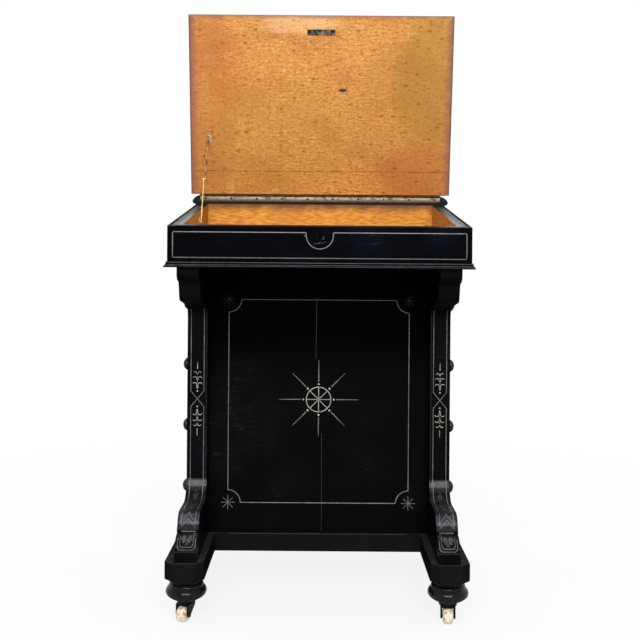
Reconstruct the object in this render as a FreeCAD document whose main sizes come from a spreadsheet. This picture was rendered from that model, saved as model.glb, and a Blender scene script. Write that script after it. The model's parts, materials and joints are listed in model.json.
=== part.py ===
import FreeCAD, Part
import math
import os

import Sketcher

# Davenport desk, millimetres.  X runs across the desk, +Y towards its back and +Z up.
# The origin lies on the floor under the middle of the desk.
# The lid is modelled open, leaning on its stay, and every drawer is modelled shut.

SIZES = {
    # Base, stacked from the casters up
    "foot_height": 48,
    "runner_height": 36.5,
    "pedestal_height": 544,
    # Writing box
    "box_width": 560,
    "box_depth": 490,
    "box_front_rise": 77,
    "box_back_rise": 141,
    "box_side_thickness": 16,
    "box_front_thickness": 14,
    "box_bottom_thickness": 10,
    "lining_thickness": 10,
    "front_lining_thickness": 7,
    "moulding_reach": 6,
    "moulding_height": 11,
    "moulding_fillet": 2,
    "moulding_hollow": 12,
    # Lid and the fixed shelf behind it
    "board_thickness": 20,
    "hinge_setback": 378,
    "edge_overhang": 9.5,
    "lid_front_overhang": 11,
    "shelf_back_overhang": 10,
    "edge_nose": 6.5,
    "edge_fall": 16,
    "edge_crown": 24,
    "lid_gap": 0.5,
    "leather_margin": 48,
    "leather_thickness": 1.5,
    # Long hinge
    "hinge_end_inset": 9,
    "leaf_thickness": 1.2,
    "leaf_gap": 0.3,
    "leaf_height": 12.2,
    "knuckle_radius": 3,
    "knuckle_pairs": 21,
    "knuckle_clearance": 0.3,
    "hinge_pin_radius": 1.25,
    "running_clearance": 0.05,
    "screw_radius": 2.2,
    "screw_length": 10,
    # Lock of the writing box
    "lock_width": 62,
    "lock_depth": 16,
    "lock_height": 40,
    "lock_wall": 1.5,
    "lock_top_clearance": 1,
    "loop_spacing": 26,
    "loop_drop": 11,
    "loop_width": 6,
    "loop_wire": 1.3,
    "loop_thickness": 2.2,
    "loop_swing": 2.7,
    "slot_side_clearance": 0.8,
    "slot_end_clearance": 0.5,
    "bolt_thickness": 2,
    "bolt_clearance": 0.8,
    "bolt_wall_clearance": 0.5,
    "bolt_throw": 7,
    "bolt_bar_height": 5,
    "bolt_finger_height": 3.5,
    "bolt_post_width": 3.5,
    "keyhole_radius": 2.8,
    "keyhole_slot": 2.5,
    "keyhole_length": 8.4,
    "keyhole_drop": 17,
    "key_pin_radius": 1.2,
    "escutcheon_radius": 6.5,
    "escutcheon_thickness": 0.6,
    "link_plate_length": 61,
    "link_plate_width": 13,
    "link_plate_thickness": 1.6,
    # Lid stay
    "stay_bar_width": 7.5,
    "stay_bar_thickness": 2.2,
    "stay_bar_gap": 0.3,
    "stay_wall_gap": 2.2,
    "stay_pin_radius": 1.5,
    "stay_rivet_radius": 3,
    "stay_rivet_height": 1.2,
    "stay_plate_thickness": 1.6,
    "stay_box_plate_width": 12,
    "stay_box_plate_height": 24,
    "stay_lid_plate_length": 20,
    "stay_lid_plate_width": 7.5,
    "stay_ear_thickness": 2,
    "stay_ear_margin": 3.5,
    "stay_box_setback": 136,
    "stay_box_drop": 69,
    "stay_lid_distance": 129,
    "stay_lid_standoff": 8,
    # Pedestal
    "pedestal_inset": 16,
    "pedestal_setback": 190,
    "pedestal_back_setback": 10,
    "panel_thickness": 18,
    "deck_thickness": 19,
    "divider_thickness": 10,
    "side_panel_thickness": 10,
    "false_front_thickness": 10,
    # Drawers
    "drawer_front_thickness": 18,
    "drawer_gap": 0.5,
    "drawer_back_space": 4,
    "drawer_side_thickness": 9,
    "drawer_bottom_thickness": 6,
    "drawer_side_drop": 8,
    "knob_spacing": 145,
    "knob_radius": 13,
    "knob_rim": 3,
    "knob_crown": 7.5,
    "knob_neck_radius": 6,
    "knob_neck_height": 9,
    "knob_flare": 9,
    "knob_reach": 24.5,
    "knob_tenon": 8,
    "knob_tenon_radius": 4,
    # Scroll-cut supports
    "support_thickness": 40.5,
    "column_setback": 154,
    "bracket_setback": 10,
    "bracket_block_height": 14.5,
    "bracket_swell_reach": 21,
    "bracket_swell_height": 12,
    "bracket_swell_radius": 24,
    "bracket_step": 4,
    "bracket_throat_reach": 8,
    "bracket_throat_height": 24,
    "bracket_nose_reach": 17,
    "bracket_nose_height": 10,
    "bracket_nose_radius": 15,
    "bracket_height": 76,
    "bracket_cove": 26,
    "scroll_height": 80,
    "scroll_facet": 7,
    "scroll_facet_height": 18,
    "scroll_cove_reach": 26,
    "scroll_cove_height": 21.5,
    "scroll_cove_radius": 30,
    "scroll_nose_setback": 70,
    "scroll_nose_reach": 26,
    "scroll_nose_height": 14.5,
    "scroll_nose_radius": 24,
    "scroll_throat_reach": 6.5,
    "scroll_throat_top": 51.5,
    "scroll_throat_bottom": 44.5,
    "toe_setback": 6,
    "toe_step": 3,
    "toe_height": 20.5,
    "toe_block_height": 18.5,
    "toe_radius": 30,
    # Runners, aprons and feet
    "runner_width": 73,
    "runner_reach": 3,
    "runner_back_setback": 6,
    "runner_corner": 16,
    "runner_bevel": 9,
    "apron_thickness": 16,
    "apron_reach": 4,
    "foot_setback": 45,
    "foot_radius": 38.7,
    "foot_sole_radius": 22,
    "foot_belly_height": 21,
    "foot_lower_curve": 28,
    "foot_upper_curve": 20,
    "foot_neck_radius": 27,
    "foot_neck_height": 38,
    "foot_collar_radius": 30,
    "foot_collar_height": 6,
    "foot_collar_bevel": 1,
    "foot_bore_depth": 20,
    # Casters
    "wheel_radius": 15,
    "wheel_width": 19.5,
    "wheel_round": 2.5,
    "axle_radius": 2,
    "axle_boss": 5,
    "caster_trail": 9,
    "fork_thickness": 3.6,
    "fork_gap": 0.6,
    "bridge_thickness": 2.9,
    "bridge_nose": 10,
    "caster_gap": 0.3,
    "socket_thickness": 2.2,
    "socket_radius": 17,
    "pintle_radius": 3,
    "pintle_length": 18,
    "front_left_turn": 155,
    "front_right_turn": 174,
    "rear_left_turn": 170,
    "rear_right_turn": 190,
}

DRAWER_COUNT = 4
SCREW_COUNT = 10

document = FreeCAD.newDocument("davenport_desk")
sheet = document.addObject("Spreadsheet::Sheet", "sizes")
for row, (alias, number) in enumerate(SIZES.items(), start=1):
    sheet.set(f"A{row}", alias)
    sheet.set(f"B{row}", str(number))
    sheet.setAlias(f"B{row}", alias)
document.recompute()


# ---------------------------------------------------------------- sizes and formulas

class Size:
    """A number together with the sheet formula that gives it."""

    def __init__(self, value, formula):
        self.value = value
        self.formula = formula

    def __add__(self, other):
        return Size(self.value + amount(other), f"({self.formula} + {formula(other)})")

    def __radd__(self, other):
        return Size(amount(other) + self.value, f"({formula(other)} + {self.formula})")

    def __sub__(self, other):
        return Size(self.value - amount(other), f"({self.formula} - {formula(other)})")

    def __rsub__(self, other):
        return Size(amount(other) - self.value, f"({formula(other)} - {self.formula})")

    def __mul__(self, other):
        return Size(self.value * amount(other), f"({self.formula} * {formula(other)})")

    __rmul__ = __mul__

    def __truediv__(self, other):
        return Size(self.value / amount(other), f"({self.formula} / {formula(other)})")

    def __neg__(self):
        return Size(-self.value, f"(0 - {self.formula})")


def amount(size):
    return size.value if isinstance(size, Size) else float(size)


def formula(size):
    return size.formula if isinstance(size, Size) else f"({float(size)})"


def square_root(size):
    return Size(math.sqrt(size.value), f"sqrt({size.formula})")


def driving(alias):
    return Size(float(sheet.get(alias)), f"sizes.{alias}")


s = type("Sizes", (), {alias: driving(alias) for alias in SIZES})


def bind(item, path, size):
    if isinstance(size, Size):
        item.setExpression(path, size.formula)


def put(item, x=0, y=0, z=0):
    """Put an item where its three sizes say."""
    item.Placement.Base = FreeCAD.Vector(amount(x), amount(y), amount(z))
    bind(item, ".Placement.Base.x", x)
    bind(item, ".Placement.Base.y", y)
    bind(item, ".Placement.Base.z", z)
    return item


def turn(item, axis, angle):
    """Turn an item about an axis through its own origin, in degrees."""
    item.Placement.Rotation = FreeCAD.Rotation(FreeCAD.Vector(*axis), amount(angle))
    return item


# ---------------------------------------------------------------- ways of making a piece

nodes = []


def keep(item, label):
    """Name a finished sub-part and put it on the list that is written out."""
    item.Label = label
    nodes.append(item)
    return item


def block(x, y, z):
    """A plain board between three pairs of low and high sizes."""
    made = document.addObject("Part::Box", "board")
    for path, (low, high) in (("Length", x), ("Width", y), ("Height", z)):
        setattr(made, path, amount(high) - amount(low))
        bind(made, path, high - low)
    return put(made, x[0], y[0], z[0])


def rod(radius, length, x, y, z, direction="Z"):
    """A round pin that starts at a point and runs along an axis."""
    made = document.addObject("Part::Cylinder", "rod")
    made.Radius = amount(radius)
    made.Height = amount(length)
    bind(made, "Radius", radius)
    bind(made, "Height", length)
    if direction == "X":
        turn(made, (0, 1, 0), 90)
    if direction == "Y":
        turn(made, (1, 0, 0), -90)
    return put(made, x, y, z)


def join(pieces):
    made = document.addObject("Part::MultiFuse", "joined")
    made.Shapes = pieces
    made.Refine = True
    return made


def cut(piece, tools):
    made = document.addObject("Part::Cut", "cut")
    made.Base = piece
    made.Tool = tools[0] if len(tools) == 1 else join(tools)
    return made


def group(pieces):
    """Like pieces that share one sub-part and stay separate solids."""
    made = document.addObject("Part::Compound", "group")
    made.Links = pieces
    return made


def new_body():
    return document.addObject("PartDesign::Body", "body")


def hold(sketch, kind, where, size):
    """Add one dimension to a sketch and tie it to its formula."""
    index = sketch.addConstraint(Sketcher.Constraint(kind, *where, amount(size)))
    bind(sketch, f"Constraints[{index}]", size)


def circle(u, v, radius):
    """A loop for draw() that is one full circle."""
    return ("circle", u, v, radius)


def draw_circle(sketch, u, v, radius):
    centre = FreeCAD.Vector(amount(u), amount(v), 0)
    edge = sketch.addGeometry(Part.Circle(centre, FreeCAD.Vector(0, 0, 1), amount(radius)))
    hold(sketch, "DistanceX", (edge, 3), u)
    hold(sketch, "DistanceY", (edge, 3), v)
    hold(sketch, "Radius", (edge,), radius)


def short_arc(start, end, radius):
    """The short arc from start to end; a positive radius turns anticlockwise."""
    chord = end - start
    rise = math.sqrt(max(radius * radius - chord.Length ** 2 / 4, 0))
    left = FreeCAD.Vector(-chord.y, chord.x, 0).normalize()
    centre = (start + end) / 2 + left * math.copysign(rise, radius)
    first, last = (start, end) if radius > 0 else (end, start)
    angles = [math.atan2(point.y - centre.y, point.x - centre.x) for point in (first, last)]
    whole = Part.Circle(centre, FreeCAD.Vector(0, 0, 1), abs(radius))
    return Part.ArcOfCircle(whole, angles[0], angles[1])


def draw_loop(sketch, corners):
    points = [FreeCAD.Vector(amount(corner[0]), amount(corner[1]), 0) for corner in corners]
    edges = []
    for place, corner in enumerate(corners):
        start, end = points[place - 1], points[place]
        radius = amount(corner[2]) if len(corner) == 3 else 0
        line = short_arc(start, end, radius) if radius else Part.LineSegment(start, end)
        edges.append((sketch.addGeometry(line), radius >= 0))
    for place, (edge, forward) in enumerate(edges):
        following, following_forward = edges[(place + 1) % len(edges)]
        end_point = 2 if forward else 1
        start_point = 1 if following_forward else 2
        joint = Sketcher.Constraint("Coincident", edge, end_point, following, start_point)
        sketch.addConstraint(joint)
        corner = corners[place]
        hold(sketch, "DistanceX", (edge, end_point), corner[0])
        hold(sketch, "DistanceY", (edge, end_point), corner[1])
        if len(corner) == 3:
            hold(sketch, "Radius", (edge,), corner[2] if forward else -corner[2])


def draw(body, plane, loops):
    """Sketch closed outlines on one of a body's origin planes.

    A corner is (u, v), or (u, v, radius) where an arc of that radius leads to it,
    anticlockwise when the radius is positive and clockwise when it is negative.
    """
    sketch = body.newObject("Sketcher::SketchObject", "outline")
    planes = [item for item in body.Origin.OriginFeatures if item.Role == f"{plane}_Plane"]
    sketch.AttachmentSupport = (planes[0], [""])
    sketch.MapMode = "FlatFace"
    for loop in loops:
        if loop[0] == "circle":
            draw_circle(sketch, *loop[1:])
        else:
            draw_loop(sketch, loop)
    return sketch


def pad(body, plane, loops, thickness, symmetric=False, backwards=False):
    """Raise outlines from a plane of the body."""
    feature = body.newObject("PartDesign::Pad", "pad")
    feature.Profile = draw(body, plane, loops)
    feature.Length = amount(thickness)
    bind(feature, "Length", thickness)
    feature.Midplane = symmetric
    feature.Reversed = backwards
    return feature


def pocket(body, plane, loops):
    """Cut outlines right through the body, both ways from a plane."""
    feature = body.newObject("PartDesign::Pocket", "pocket")
    feature.Profile = draw(body, plane, loops)
    feature.Type = "ThroughAll"
    feature.Midplane = True
    return feature


def turned(corners):
    """A piece turned about its own upright axis from half an outline."""
    body = new_body()
    feature = body.newObject("PartDesign::Revolution", "turning")
    sketch = draw(body, "XZ", [corners])
    feature.Profile = sketch
    feature.ReferenceAxis = (sketch, ["V_Axis"])
    feature.Angle = 360
    return body


def upright(outline, x_low, thickness):
    """A board drawn in (Y, Z) whose thickness runs along X from a given side."""
    body = new_body()
    pad(body, "YZ", [outline], thickness)
    return put(body, x=x_low)


# ---------------------------------------------------------------- levels and lines

half_box = s.box_width / 2
half_lid = half_box + s.edge_overhang
half_pedestal = half_box - s.pedestal_inset
runner_inner_x = half_box + s.runner_reach - s.runner_width

bridge_bottom = s.wheel_radius * 2 + s.fork_gap
bridge_top = bridge_bottom + s.bridge_thickness
socket_bottom = bridge_top + s.caster_gap
foot_bottom = socket_bottom + s.socket_thickness
runner_bottom = foot_bottom + s.foot_height
runner_top = runner_bottom + s.runner_height
box_bottom = runner_top + s.pedestal_height
shelf_bottom = box_bottom + s.box_back_rise
shelf_top = shelf_bottom + s.board_thickness

front_y = (s.moulding_reach - s.shelf_back_overhang - s.box_depth) / 2
back_y = front_y + s.box_depth
hinge_y = front_y + s.hinge_setback
hinge_z = shelf_top
panel_y = front_y + s.pedestal_setback
panel_inner_y = panel_y + s.panel_thickness
pedestal_back_y = back_y - s.pedestal_back_setback
back_inner_y = pedestal_back_y - s.panel_thickness

# The writing slope rises from the box front to the hinge line.
slope_rise = s.box_back_rise - s.box_front_rise
slope_length = square_root(slope_rise * slope_rise + s.hinge_setback * s.hinge_setback)
slope_cos = s.hinge_setback / slope_length
slope_sin = slope_rise / slope_length


def slope_z(setback):
    """Height of the box's sloping top edge at a distance behind its front."""
    return box_bottom + s.box_front_rise + slope_rise / s.hinge_setback * setback - s.lid_gap


# ---------------------------------------------------------------- writing box

inner_front = s.box_front_thickness
lining_front = inner_front + s.front_lining_thickness
leaf_seat = s.leaf_gap + s.leaf_thickness
well_wall = s.hinge_setback + leaf_seat
inner_back = s.box_depth - s.box_front_thickness
lining_x = half_box - s.box_side_thickness
well_x = lining_x - s.lining_thickness
floor_z = box_bottom + s.box_bottom_thickness
keyhole_z = box_bottom + s.box_front_rise - s.keyhole_drop


def keyhole():
    """Outline of the keyhole in (X, Z): a round top over a narrow slot."""
    half_slot = s.keyhole_slot / 2
    shoulder = square_root(s.keyhole_radius * s.keyhole_radius - half_slot * half_slot)
    return [
        (-half_slot, keyhole_z - s.keyhole_length),
        (half_slot, keyhole_z - s.keyhole_length),
        (half_slot, keyhole_z - shoulder),
        (s.keyhole_radius, keyhole_z, s.keyhole_radius),
        (0, keyhole_z + s.keyhole_radius, s.keyhole_radius),
        (-s.keyhole_radius, keyhole_z, s.keyhole_radius),
        (-half_slot, keyhole_z - shoulder, s.keyhole_radius),
    ]


def sloped_outline(near, far, z_low):
    """Side view of a piece of the box whose top follows the slope."""
    return [
        (front_y + near, z_low),
        (front_y + far, z_low),
        (front_y + far, slope_z(far)),
        (front_y + near, slope_z(near)),
    ]


def side_outline():
    """Side view of a box side: it slopes to the hinge and runs level under the shelf."""
    return [
        (front_y + inner_front, box_bottom),
        (front_y + inner_back, box_bottom),
        (front_y + inner_back, shelf_bottom),
        (front_y + well_wall, shelf_bottom),
        (front_y + well_wall, slope_z(s.hinge_setback)),
        (front_y + inner_front, slope_z(inner_front)),
    ]


def across(outline, width):
    """A board drawn in (Y, Z) that lies centred across the desk, with the keyhole in it."""
    body = new_body()
    pad(body, "YZ", [outline], width, symmetric=True)
    pocket(body, "XZ", [keyhole()])
    return body


keyhole_middle = keyhole_z + (s.keyhole_radius - s.keyhole_length) / 2
keep(across(sloped_outline(0, inner_front, box_bottom), s.box_width), "box_front")

escutcheon = new_body()
pad(escutcheon, "XZ", [circle(0, keyhole_middle, s.escutcheon_radius), keyhole()],
    s.escutcheon_thickness, backwards=True)
keep(put(escutcheon, y=front_y - s.escutcheon_thickness), "escutcheon")

keep(upright(side_outline(), -half_box, s.box_side_thickness), "box_side_left")
keep(upright(side_outline(), lining_x, s.box_side_thickness), "box_side_right")
keep(block((-half_box, half_box), (front_y + inner_back, back_y), (box_bottom, shelf_bottom)),
     "box_back")
keep(block((-lining_x, lining_x), (front_y + inner_front, front_y + inner_back),
           (box_bottom, floor_z)), "box_bottom")
keep(block((-lining_x, lining_x),
           (front_y + well_wall, front_y + well_wall + s.front_lining_thickness),
           (floor_z, shelf_bottom)), "well_back")

side_lining = sloped_outline(inner_front, well_wall, floor_z)
linings = [
    upright(side_lining, -lining_x, s.lining_thickness),
    upright(side_lining, well_x, s.lining_thickness),
    across(sloped_outline(inner_front, lining_front, floor_z), well_x * 2),
]
keep(group(linings), "well_lining")


def moulding_section(edge, outward):
    """Section of the hollow base moulding that reaches outward from a face."""
    return [
        (edge, box_bottom),
        (edge + s.moulding_reach * outward, box_bottom),
        (edge + s.moulding_reach * outward, box_bottom + s.moulding_fillet),
        (edge + s.moulding_fillet * outward, box_bottom + s.moulding_height,
         s.moulding_hollow * -outward),
        (edge, box_bottom + s.moulding_height),
    ]


moulding_x = half_box + s.moulding_reach
moulding_y = front_y - s.moulding_reach
front_strip = new_body()
pad(front_strip, "YZ", [moulding_section(front_y, -1)], moulding_x * 2, symmetric=True)
pocket(front_strip, "XY", [
    [(moulding_x * side, moulding_y), (moulding_x * side, front_y), (half_box * side, front_y)]
    for side in (-1, 1)
])
strips = [front_strip]
for side in (-1, 1):
    strip = new_body()
    pad(strip, "XZ", [moulding_section(half_box * side, side)], s.box_depth + s.moulding_reach,
        backwards=True)
    pocket(strip, "XY",
           [[(half_box * side, 0), (moulding_x * side, 0), (half_box * side, s.moulding_reach)]])
    strips.append(put(strip, y=moulding_y))
keep(group(strips), "base_moulding")


# ---------------------------------------------------------------- moulded boards

def edge_trim(edge, nose_face, fall_face, outward):
    """What is planed away to leave a thumb moulding on a board's edge.

    The edge has a round nose against nose_face and falls away towards fall_face.
    """
    inward = 1 if amount(fall_face) > amount(nose_face) else -1
    bend = -outward * inward
    clear = edge + s.edge_nose * outward
    return [
        (edge - s.edge_nose * outward, nose_face, s.edge_nose * bend),
        (clear, nose_face),
        (clear, fall_face),
        (edge - s.edge_fall * outward, fall_face),
        (edge, nose_face + s.edge_nose * inward, s.edge_crown * bend),
    ]


knuckle_room = s.knuckle_radius + s.leaf_gap
shelf_y = front_y + well_wall
shelf_end_y = back_y + s.shelf_back_overhang
shelf_board = new_body()
pad(shelf_board, "YZ", [[
    (shelf_y, shelf_bottom),
    (shelf_end_y, shelf_bottom),
    (shelf_end_y, shelf_top),
    (shelf_y + knuckle_room, shelf_top),
    (shelf_y, shelf_top - knuckle_room),
]], half_lid * 2, symmetric=True)
pocket(shelf_board, "YZ", [edge_trim(shelf_end_y, shelf_bottom, shelf_top, 1)])
pocket(shelf_board, "XZ", [
    edge_trim(half_lid, shelf_bottom, shelf_top, 1),
    edge_trim(-half_lid, shelf_bottom, shelf_top, -1),
])

hinge_length = s.box_width - s.hinge_end_inset * 2
screw_span = hinge_length - s.leaf_height * 2
screw_step = screw_span / (SCREW_COUNT - 1)
screw_z = hinge_z - (s.leaf_height + s.knuckle_radius) / 2


def screw_shanks():
    """Shanks of the hinge screws, from the leaf's face into the shelf."""
    return [
        rod(s.screw_radius / 2, s.screw_length, screw_step * number - screw_span / 2,
            hinge_y + s.leaf_gap, screw_z, "Y")
        for number in range(SCREW_COUNT)
    ]


keep(cut(shelf_board, screw_shanks()), "rear_shelf")

# ---------------------------------------------------------------- long hinge

knuckle_pitch = hinge_length / s.knuckle_pairs / 2
knuckle_length = knuckle_pitch - s.knuckle_clearance * 2
notch = s.knuckle_radius + s.knuckle_clearance
tongue_end = (s.hinge_pin_radius + s.knuckle_radius) / 2


def leaf(place, bore, lies_flat):
    """A hinge leaf with every second knuckle, drawn about the hinge's axis."""
    near, far = s.leaf_gap, leaf_seat
    plate_span = (-s.leaf_height, -notch)
    tongue_span = (-notch, -tongue_end)

    def strip_outline(span):
        flat = [(span[0], near), (span[1], near), (span[1], far), (span[0], far)]
        return flat if lies_flat else [(v, u) for u, v in flat]

    body = new_body()
    pad(body, "YZ", [strip_outline(plate_span)], hinge_length)
    start = knuckle_pitch * place + s.knuckle_clearance
    knuckle = []
    for loops in ([strip_outline(tongue_span)],
                  [circle(0, 0, s.knuckle_radius), circle(0, 0, bore)]):
        feature = pad(body, "YZ", loops, knuckle_length)
        sketch = feature.Profile[0]
        sketch.AttachmentOffset = FreeCAD.Placement(
            FreeCAD.Vector(0, 0, amount(start)), FreeCAD.Rotation())
        bind(sketch, ".AttachmentOffset.Base.z", start)
        knuckle.append(feature)
    pattern = body.newObject("PartDesign::LinearPattern", "knuckles")
    pattern.Originals = knuckle
    pattern.Direction = (knuckle[0].Profile[0], ["N_Axis"])
    pattern.Mode = "Spacing"
    pattern.Offset = amount(knuckle_pitch) * 2
    bind(pattern, "Offset", knuckle_pitch * 2)
    pattern.Occurrences = int(amount(s.knuckle_pairs))
    bind(pattern, "Occurrences", s.knuckle_pairs)
    body.Tip = pattern
    return put(body, -hinge_length / 2, hinge_y, hinge_z)


shelf_leaf = leaf(0, s.hinge_pin_radius, lies_flat=False)
keep(cut(shelf_leaf, screw_shanks()), "hinge_leaf_shelf")
keep(leaf(1, s.hinge_pin_radius + s.running_clearance, lies_flat=True), "hinge_leaf_lid")
keep(rod(s.hinge_pin_radius, hinge_length, -hinge_length / 2, hinge_y, hinge_z, "X"), "hinge_pin")

screws = []
for shank in screw_shanks():
    head = rod(s.screw_radius, s.leaf_gap * 2, 0, hinge_y - s.leaf_gap, screw_z, "Y")
    head.setExpression(".Placement.Base.x", f"{shank.Name}.Placement.Base.x")
    screws.append(join([shank, head]))
keep(group(screws), "hinge_screws")

# ---------------------------------------------------------------- lid
# The lid and what is fixed to it are drawn in the lid's own frame: Y runs from the hinge
# to the free edge, Z from the writing face to the underside.  At rest that frame stands
# square to the closed slope.

under = s.board_thickness * slope_cos
writing_face = under - s.board_thickness
lid_end = slope_length + s.lid_front_overhang
LID_ANGLE = f"90 deg + atan({slope_rise.formula} / {s.hinge_setback.formula})"
lid_degrees = 90 + math.degrees(math.atan2(amount(slope_rise), amount(s.hinge_setback)))


def lid_y(along, depth):
    return hinge_y - slope_sin * along - slope_cos * depth


def lid_z(along, depth):
    return hinge_z + slope_cos * along - slope_sin * depth


def hang(item, x=0, along=0, depth=0):
    """Place an item, drawn in the lid's frame, on the open lid."""
    turn(item, (1, 0, 0), lid_degrees)
    put(item, x, lid_y(along, depth), lid_z(along, depth))
    item.setExpression(".Placement.Rotation.Angle", LID_ANGLE)
    return item


def lid_block(x, along, depth):
    return hang(block(x, along, depth), x[0], along[0], depth[0])


def heel(depth):
    """Where the lid's rear edge starts: it stands upright when the lid is shut."""
    return (leaf_seat + depth * slope_sin) / slope_cos


lock_middle = lining_front + s.lock_depth / 2
link_along = (s.hinge_setback - lock_middle + under * slope_sin) / slope_cos
leather_x = half_lid - s.leather_margin
leather_depth = writing_face + s.leather_thickness
plate_x = s.link_plate_length / 2
plate_along = (link_along - s.link_plate_width / 2, link_along + s.link_plate_width / 2)
plate_depth = (under - s.link_plate_thickness, under)
leather_span = (s.leather_margin, lid_end - s.leather_margin)

lid_board = new_body()
pad(lid_board, "YZ", [[
    (heel(writing_face) + knuckle_room, writing_face),
    (lid_end, writing_face),
    (lid_end, under),
    (heel(under), under),
    (heel(writing_face + knuckle_room), writing_face + knuckle_room),
]], half_lid * 2, symmetric=True)
pocket(lid_board, "YZ", [edge_trim(lid_end, under, writing_face, 1)])
pocket(lid_board, "XZ", [
    edge_trim(half_lid, under, writing_face, 1),
    edge_trim(-half_lid, under, writing_face, -1),
])
hang(lid_board)
leather_shape = ((-leather_x, leather_x), leather_span, (writing_face, leather_depth))
plate_shape = ((-plate_x, plate_x), plate_along, plate_depth)
keep(cut(lid_board, [lid_block(*leather_shape), lid_block(*plate_shape)]), "lid_board")
keep(lid_block(*leather_shape), "lid_leather")


def link_loop(x):
    """A staple of the link plate, standing out of the lid's underside."""
    half_width = s.loop_width / 2
    half_thickness = s.loop_thickness / 2
    sides = (x - half_thickness, x + half_thickness)
    whole = lid_block(sides, (link_along - half_width, link_along + half_width),
                      (under - s.link_plate_thickness / 2, under + s.loop_drop))
    eye = lid_block((sides[0] - 1, sides[1] + 1),
                    (link_along - half_width + s.loop_wire, link_along + half_width - s.loop_wire),
                    (under, under + s.loop_drop - s.loop_wire))
    return cut(whole, [eye])


loop_x = s.loop_spacing / 2
keep(join([lid_block(*plate_shape), link_loop(-loop_x), link_loop(loop_x)]), "link_plate")

# ---------------------------------------------------------------- box lock

lock_y = (front_y + lining_front, front_y + lining_front + s.lock_depth)
lock_top = slope_z(lining_front) - s.lock_top_clearance
lock_bottom = lock_top - s.lock_height
lock_x = s.lock_width / 2
lock_mid_y = front_y + lock_middle
# The loops swing in on a curve and hang square to the slope, so their slots are longer than they are.
slot_y = (lock_mid_y - s.loop_width / 2 - s.loop_swing - s.slot_end_clearance,
          lock_mid_y + s.loop_width / 2 + s.loop_drop * slope_sin + s.slot_end_clearance)
slot_half = s.loop_thickness / 2 + s.slot_side_clearance
loop_foot = slope_z(lock_middle) + s.lid_gap - s.loop_drop * slope_cos
finger_z = loop_foot + s.loop_wire + s.bolt_clearance
finger_top = finger_z + s.bolt_finger_height

lock_outside = block((-lock_x, lock_x), lock_y, (lock_bottom, lock_top))
lock_inside = block((-lock_x + s.lock_wall, lock_x - s.lock_wall),
                    (lock_y[0] + s.lock_wall, lock_y[1] - s.lock_wall),
                    (lock_bottom + s.lock_wall, lock_top - s.lock_wall))
lock_slots = [
    block((x - slot_half, x + slot_half), slot_y, (lock_top - s.lock_wall * 2, lock_top + s.lock_wall))
    for x in (-loop_x, loop_x)
]
key_way = rod(s.keyhole_length - s.keyhole_radius, s.lock_wall * 2, 0, lock_y[0] - s.lock_wall / 2,
              keyhole_middle, "Y")
key_pin = rod(s.key_pin_radius, s.lock_depth - s.lock_wall / 2, 0, lock_y[0], keyhole_z, "Y")
keep(join([cut(lock_outside, [lock_inside, key_way] + lock_slots), key_pin]), "lock_case")

# The fingers lie at the height where the hanging loops' eyes stand a little behind the plate.
finger_depth = s.loop_drop - s.loop_wire - s.bolt_clearance - s.bolt_finger_height / 2
finger_mid_y = lock_mid_y + finger_depth * slope_sin
finger_y = (finger_mid_y - s.bolt_thickness / 2, finger_mid_y + s.bolt_thickness / 2)
bar_top = loop_foot - s.bolt_clearance
bar_z = (bar_top - s.bolt_bar_height, bar_top)
bar_y = (lock_y[0] + s.lock_wall + s.bolt_wall_clearance, lock_y[1] - s.lock_wall - s.bolt_wall_clearance)


def stem_x(x):
    """Side of a bolt post that stops just short of the loop at x when the bolt is thrown."""
    return x - s.loop_thickness / 2 - s.bolt_throw - s.bolt_clearance / 2


def bolt_hook(x):
    """A post and finger of the bolt that reach for the loop at x."""
    post = block((stem_x(x) - s.bolt_post_width, stem_x(x)), finger_y, (bar_z[0], finger_top))
    finger = block((stem_x(x), x - s.loop_thickness / 2 - s.bolt_clearance), finger_y,
                   (finger_z, finger_top))
    return [post, finger]


bolt_bar = block((stem_x(-loop_x) - s.bolt_post_width, stem_x(loop_x)), bar_y, bar_z)
keep(join([bolt_bar] + bolt_hook(-loop_x) + bolt_hook(loop_x)), "lock_bolt")

# ---------------------------------------------------------------- lid stay
# Two equal bars meet in an elbow and stand in line when the lid is open.

stay_y = hinge_y - s.stay_box_setback
stay_z = hinge_z - s.stay_box_drop
stay_depth = under + s.stay_lid_standoff
stay_reach_y = lid_y(s.stay_lid_distance, stay_depth) - stay_y
stay_reach_z = lid_z(s.stay_lid_distance, stay_depth) - stay_z
stay_length = square_root(stay_reach_y * stay_reach_y + stay_reach_z * stay_reach_z) / 2
stay_degrees = math.degrees(math.atan2(amount(stay_reach_z), amount(stay_reach_y)))
STAY_ANGLE = f"atan2({stay_reach_z.formula}; {stay_reach_y.formula})"
lower_x = -well_x + s.stay_wall_gap
upper_x = lower_x + s.stay_bar_thickness + s.stay_bar_gap
ear_x = upper_x + s.stay_bar_thickness + s.stay_bar_gap


def stay_arm(x, y, z, turned_back):
    """A flat bar from its pivot to the elbow, with the elbow's rivet head on its outer side."""
    half = s.stay_bar_width / 2
    outline = [
        (stay_length, -half),
        (stay_length + half, 0, half),
        (stay_length, half, half),
        (0, half),
        (-half, 0, half),
        (0, -half, half),
    ]
    body = new_body()
    eye = circle(0, 0, s.stay_pin_radius + s.running_clearance)
    pad(body, "YZ", [outline, eye], s.stay_bar_thickness)
    head = [circle(stay_length, 0, s.stay_rivet_radius)]
    if turned_back:
        pad(body, "YZ", head, s.stay_bar_thickness + s.stay_rivet_height)
    else:
        pad(body, "YZ", head, s.stay_rivet_height, backwards=True)
    turn(body, (1, 0, 0), stay_degrees + (180 if turned_back else 0))
    put(body, x, y, z)
    body.setExpression(".Placement.Rotation.Angle", STAY_ANGLE + (" + 180 deg" if turned_back else ""))
    return body


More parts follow.
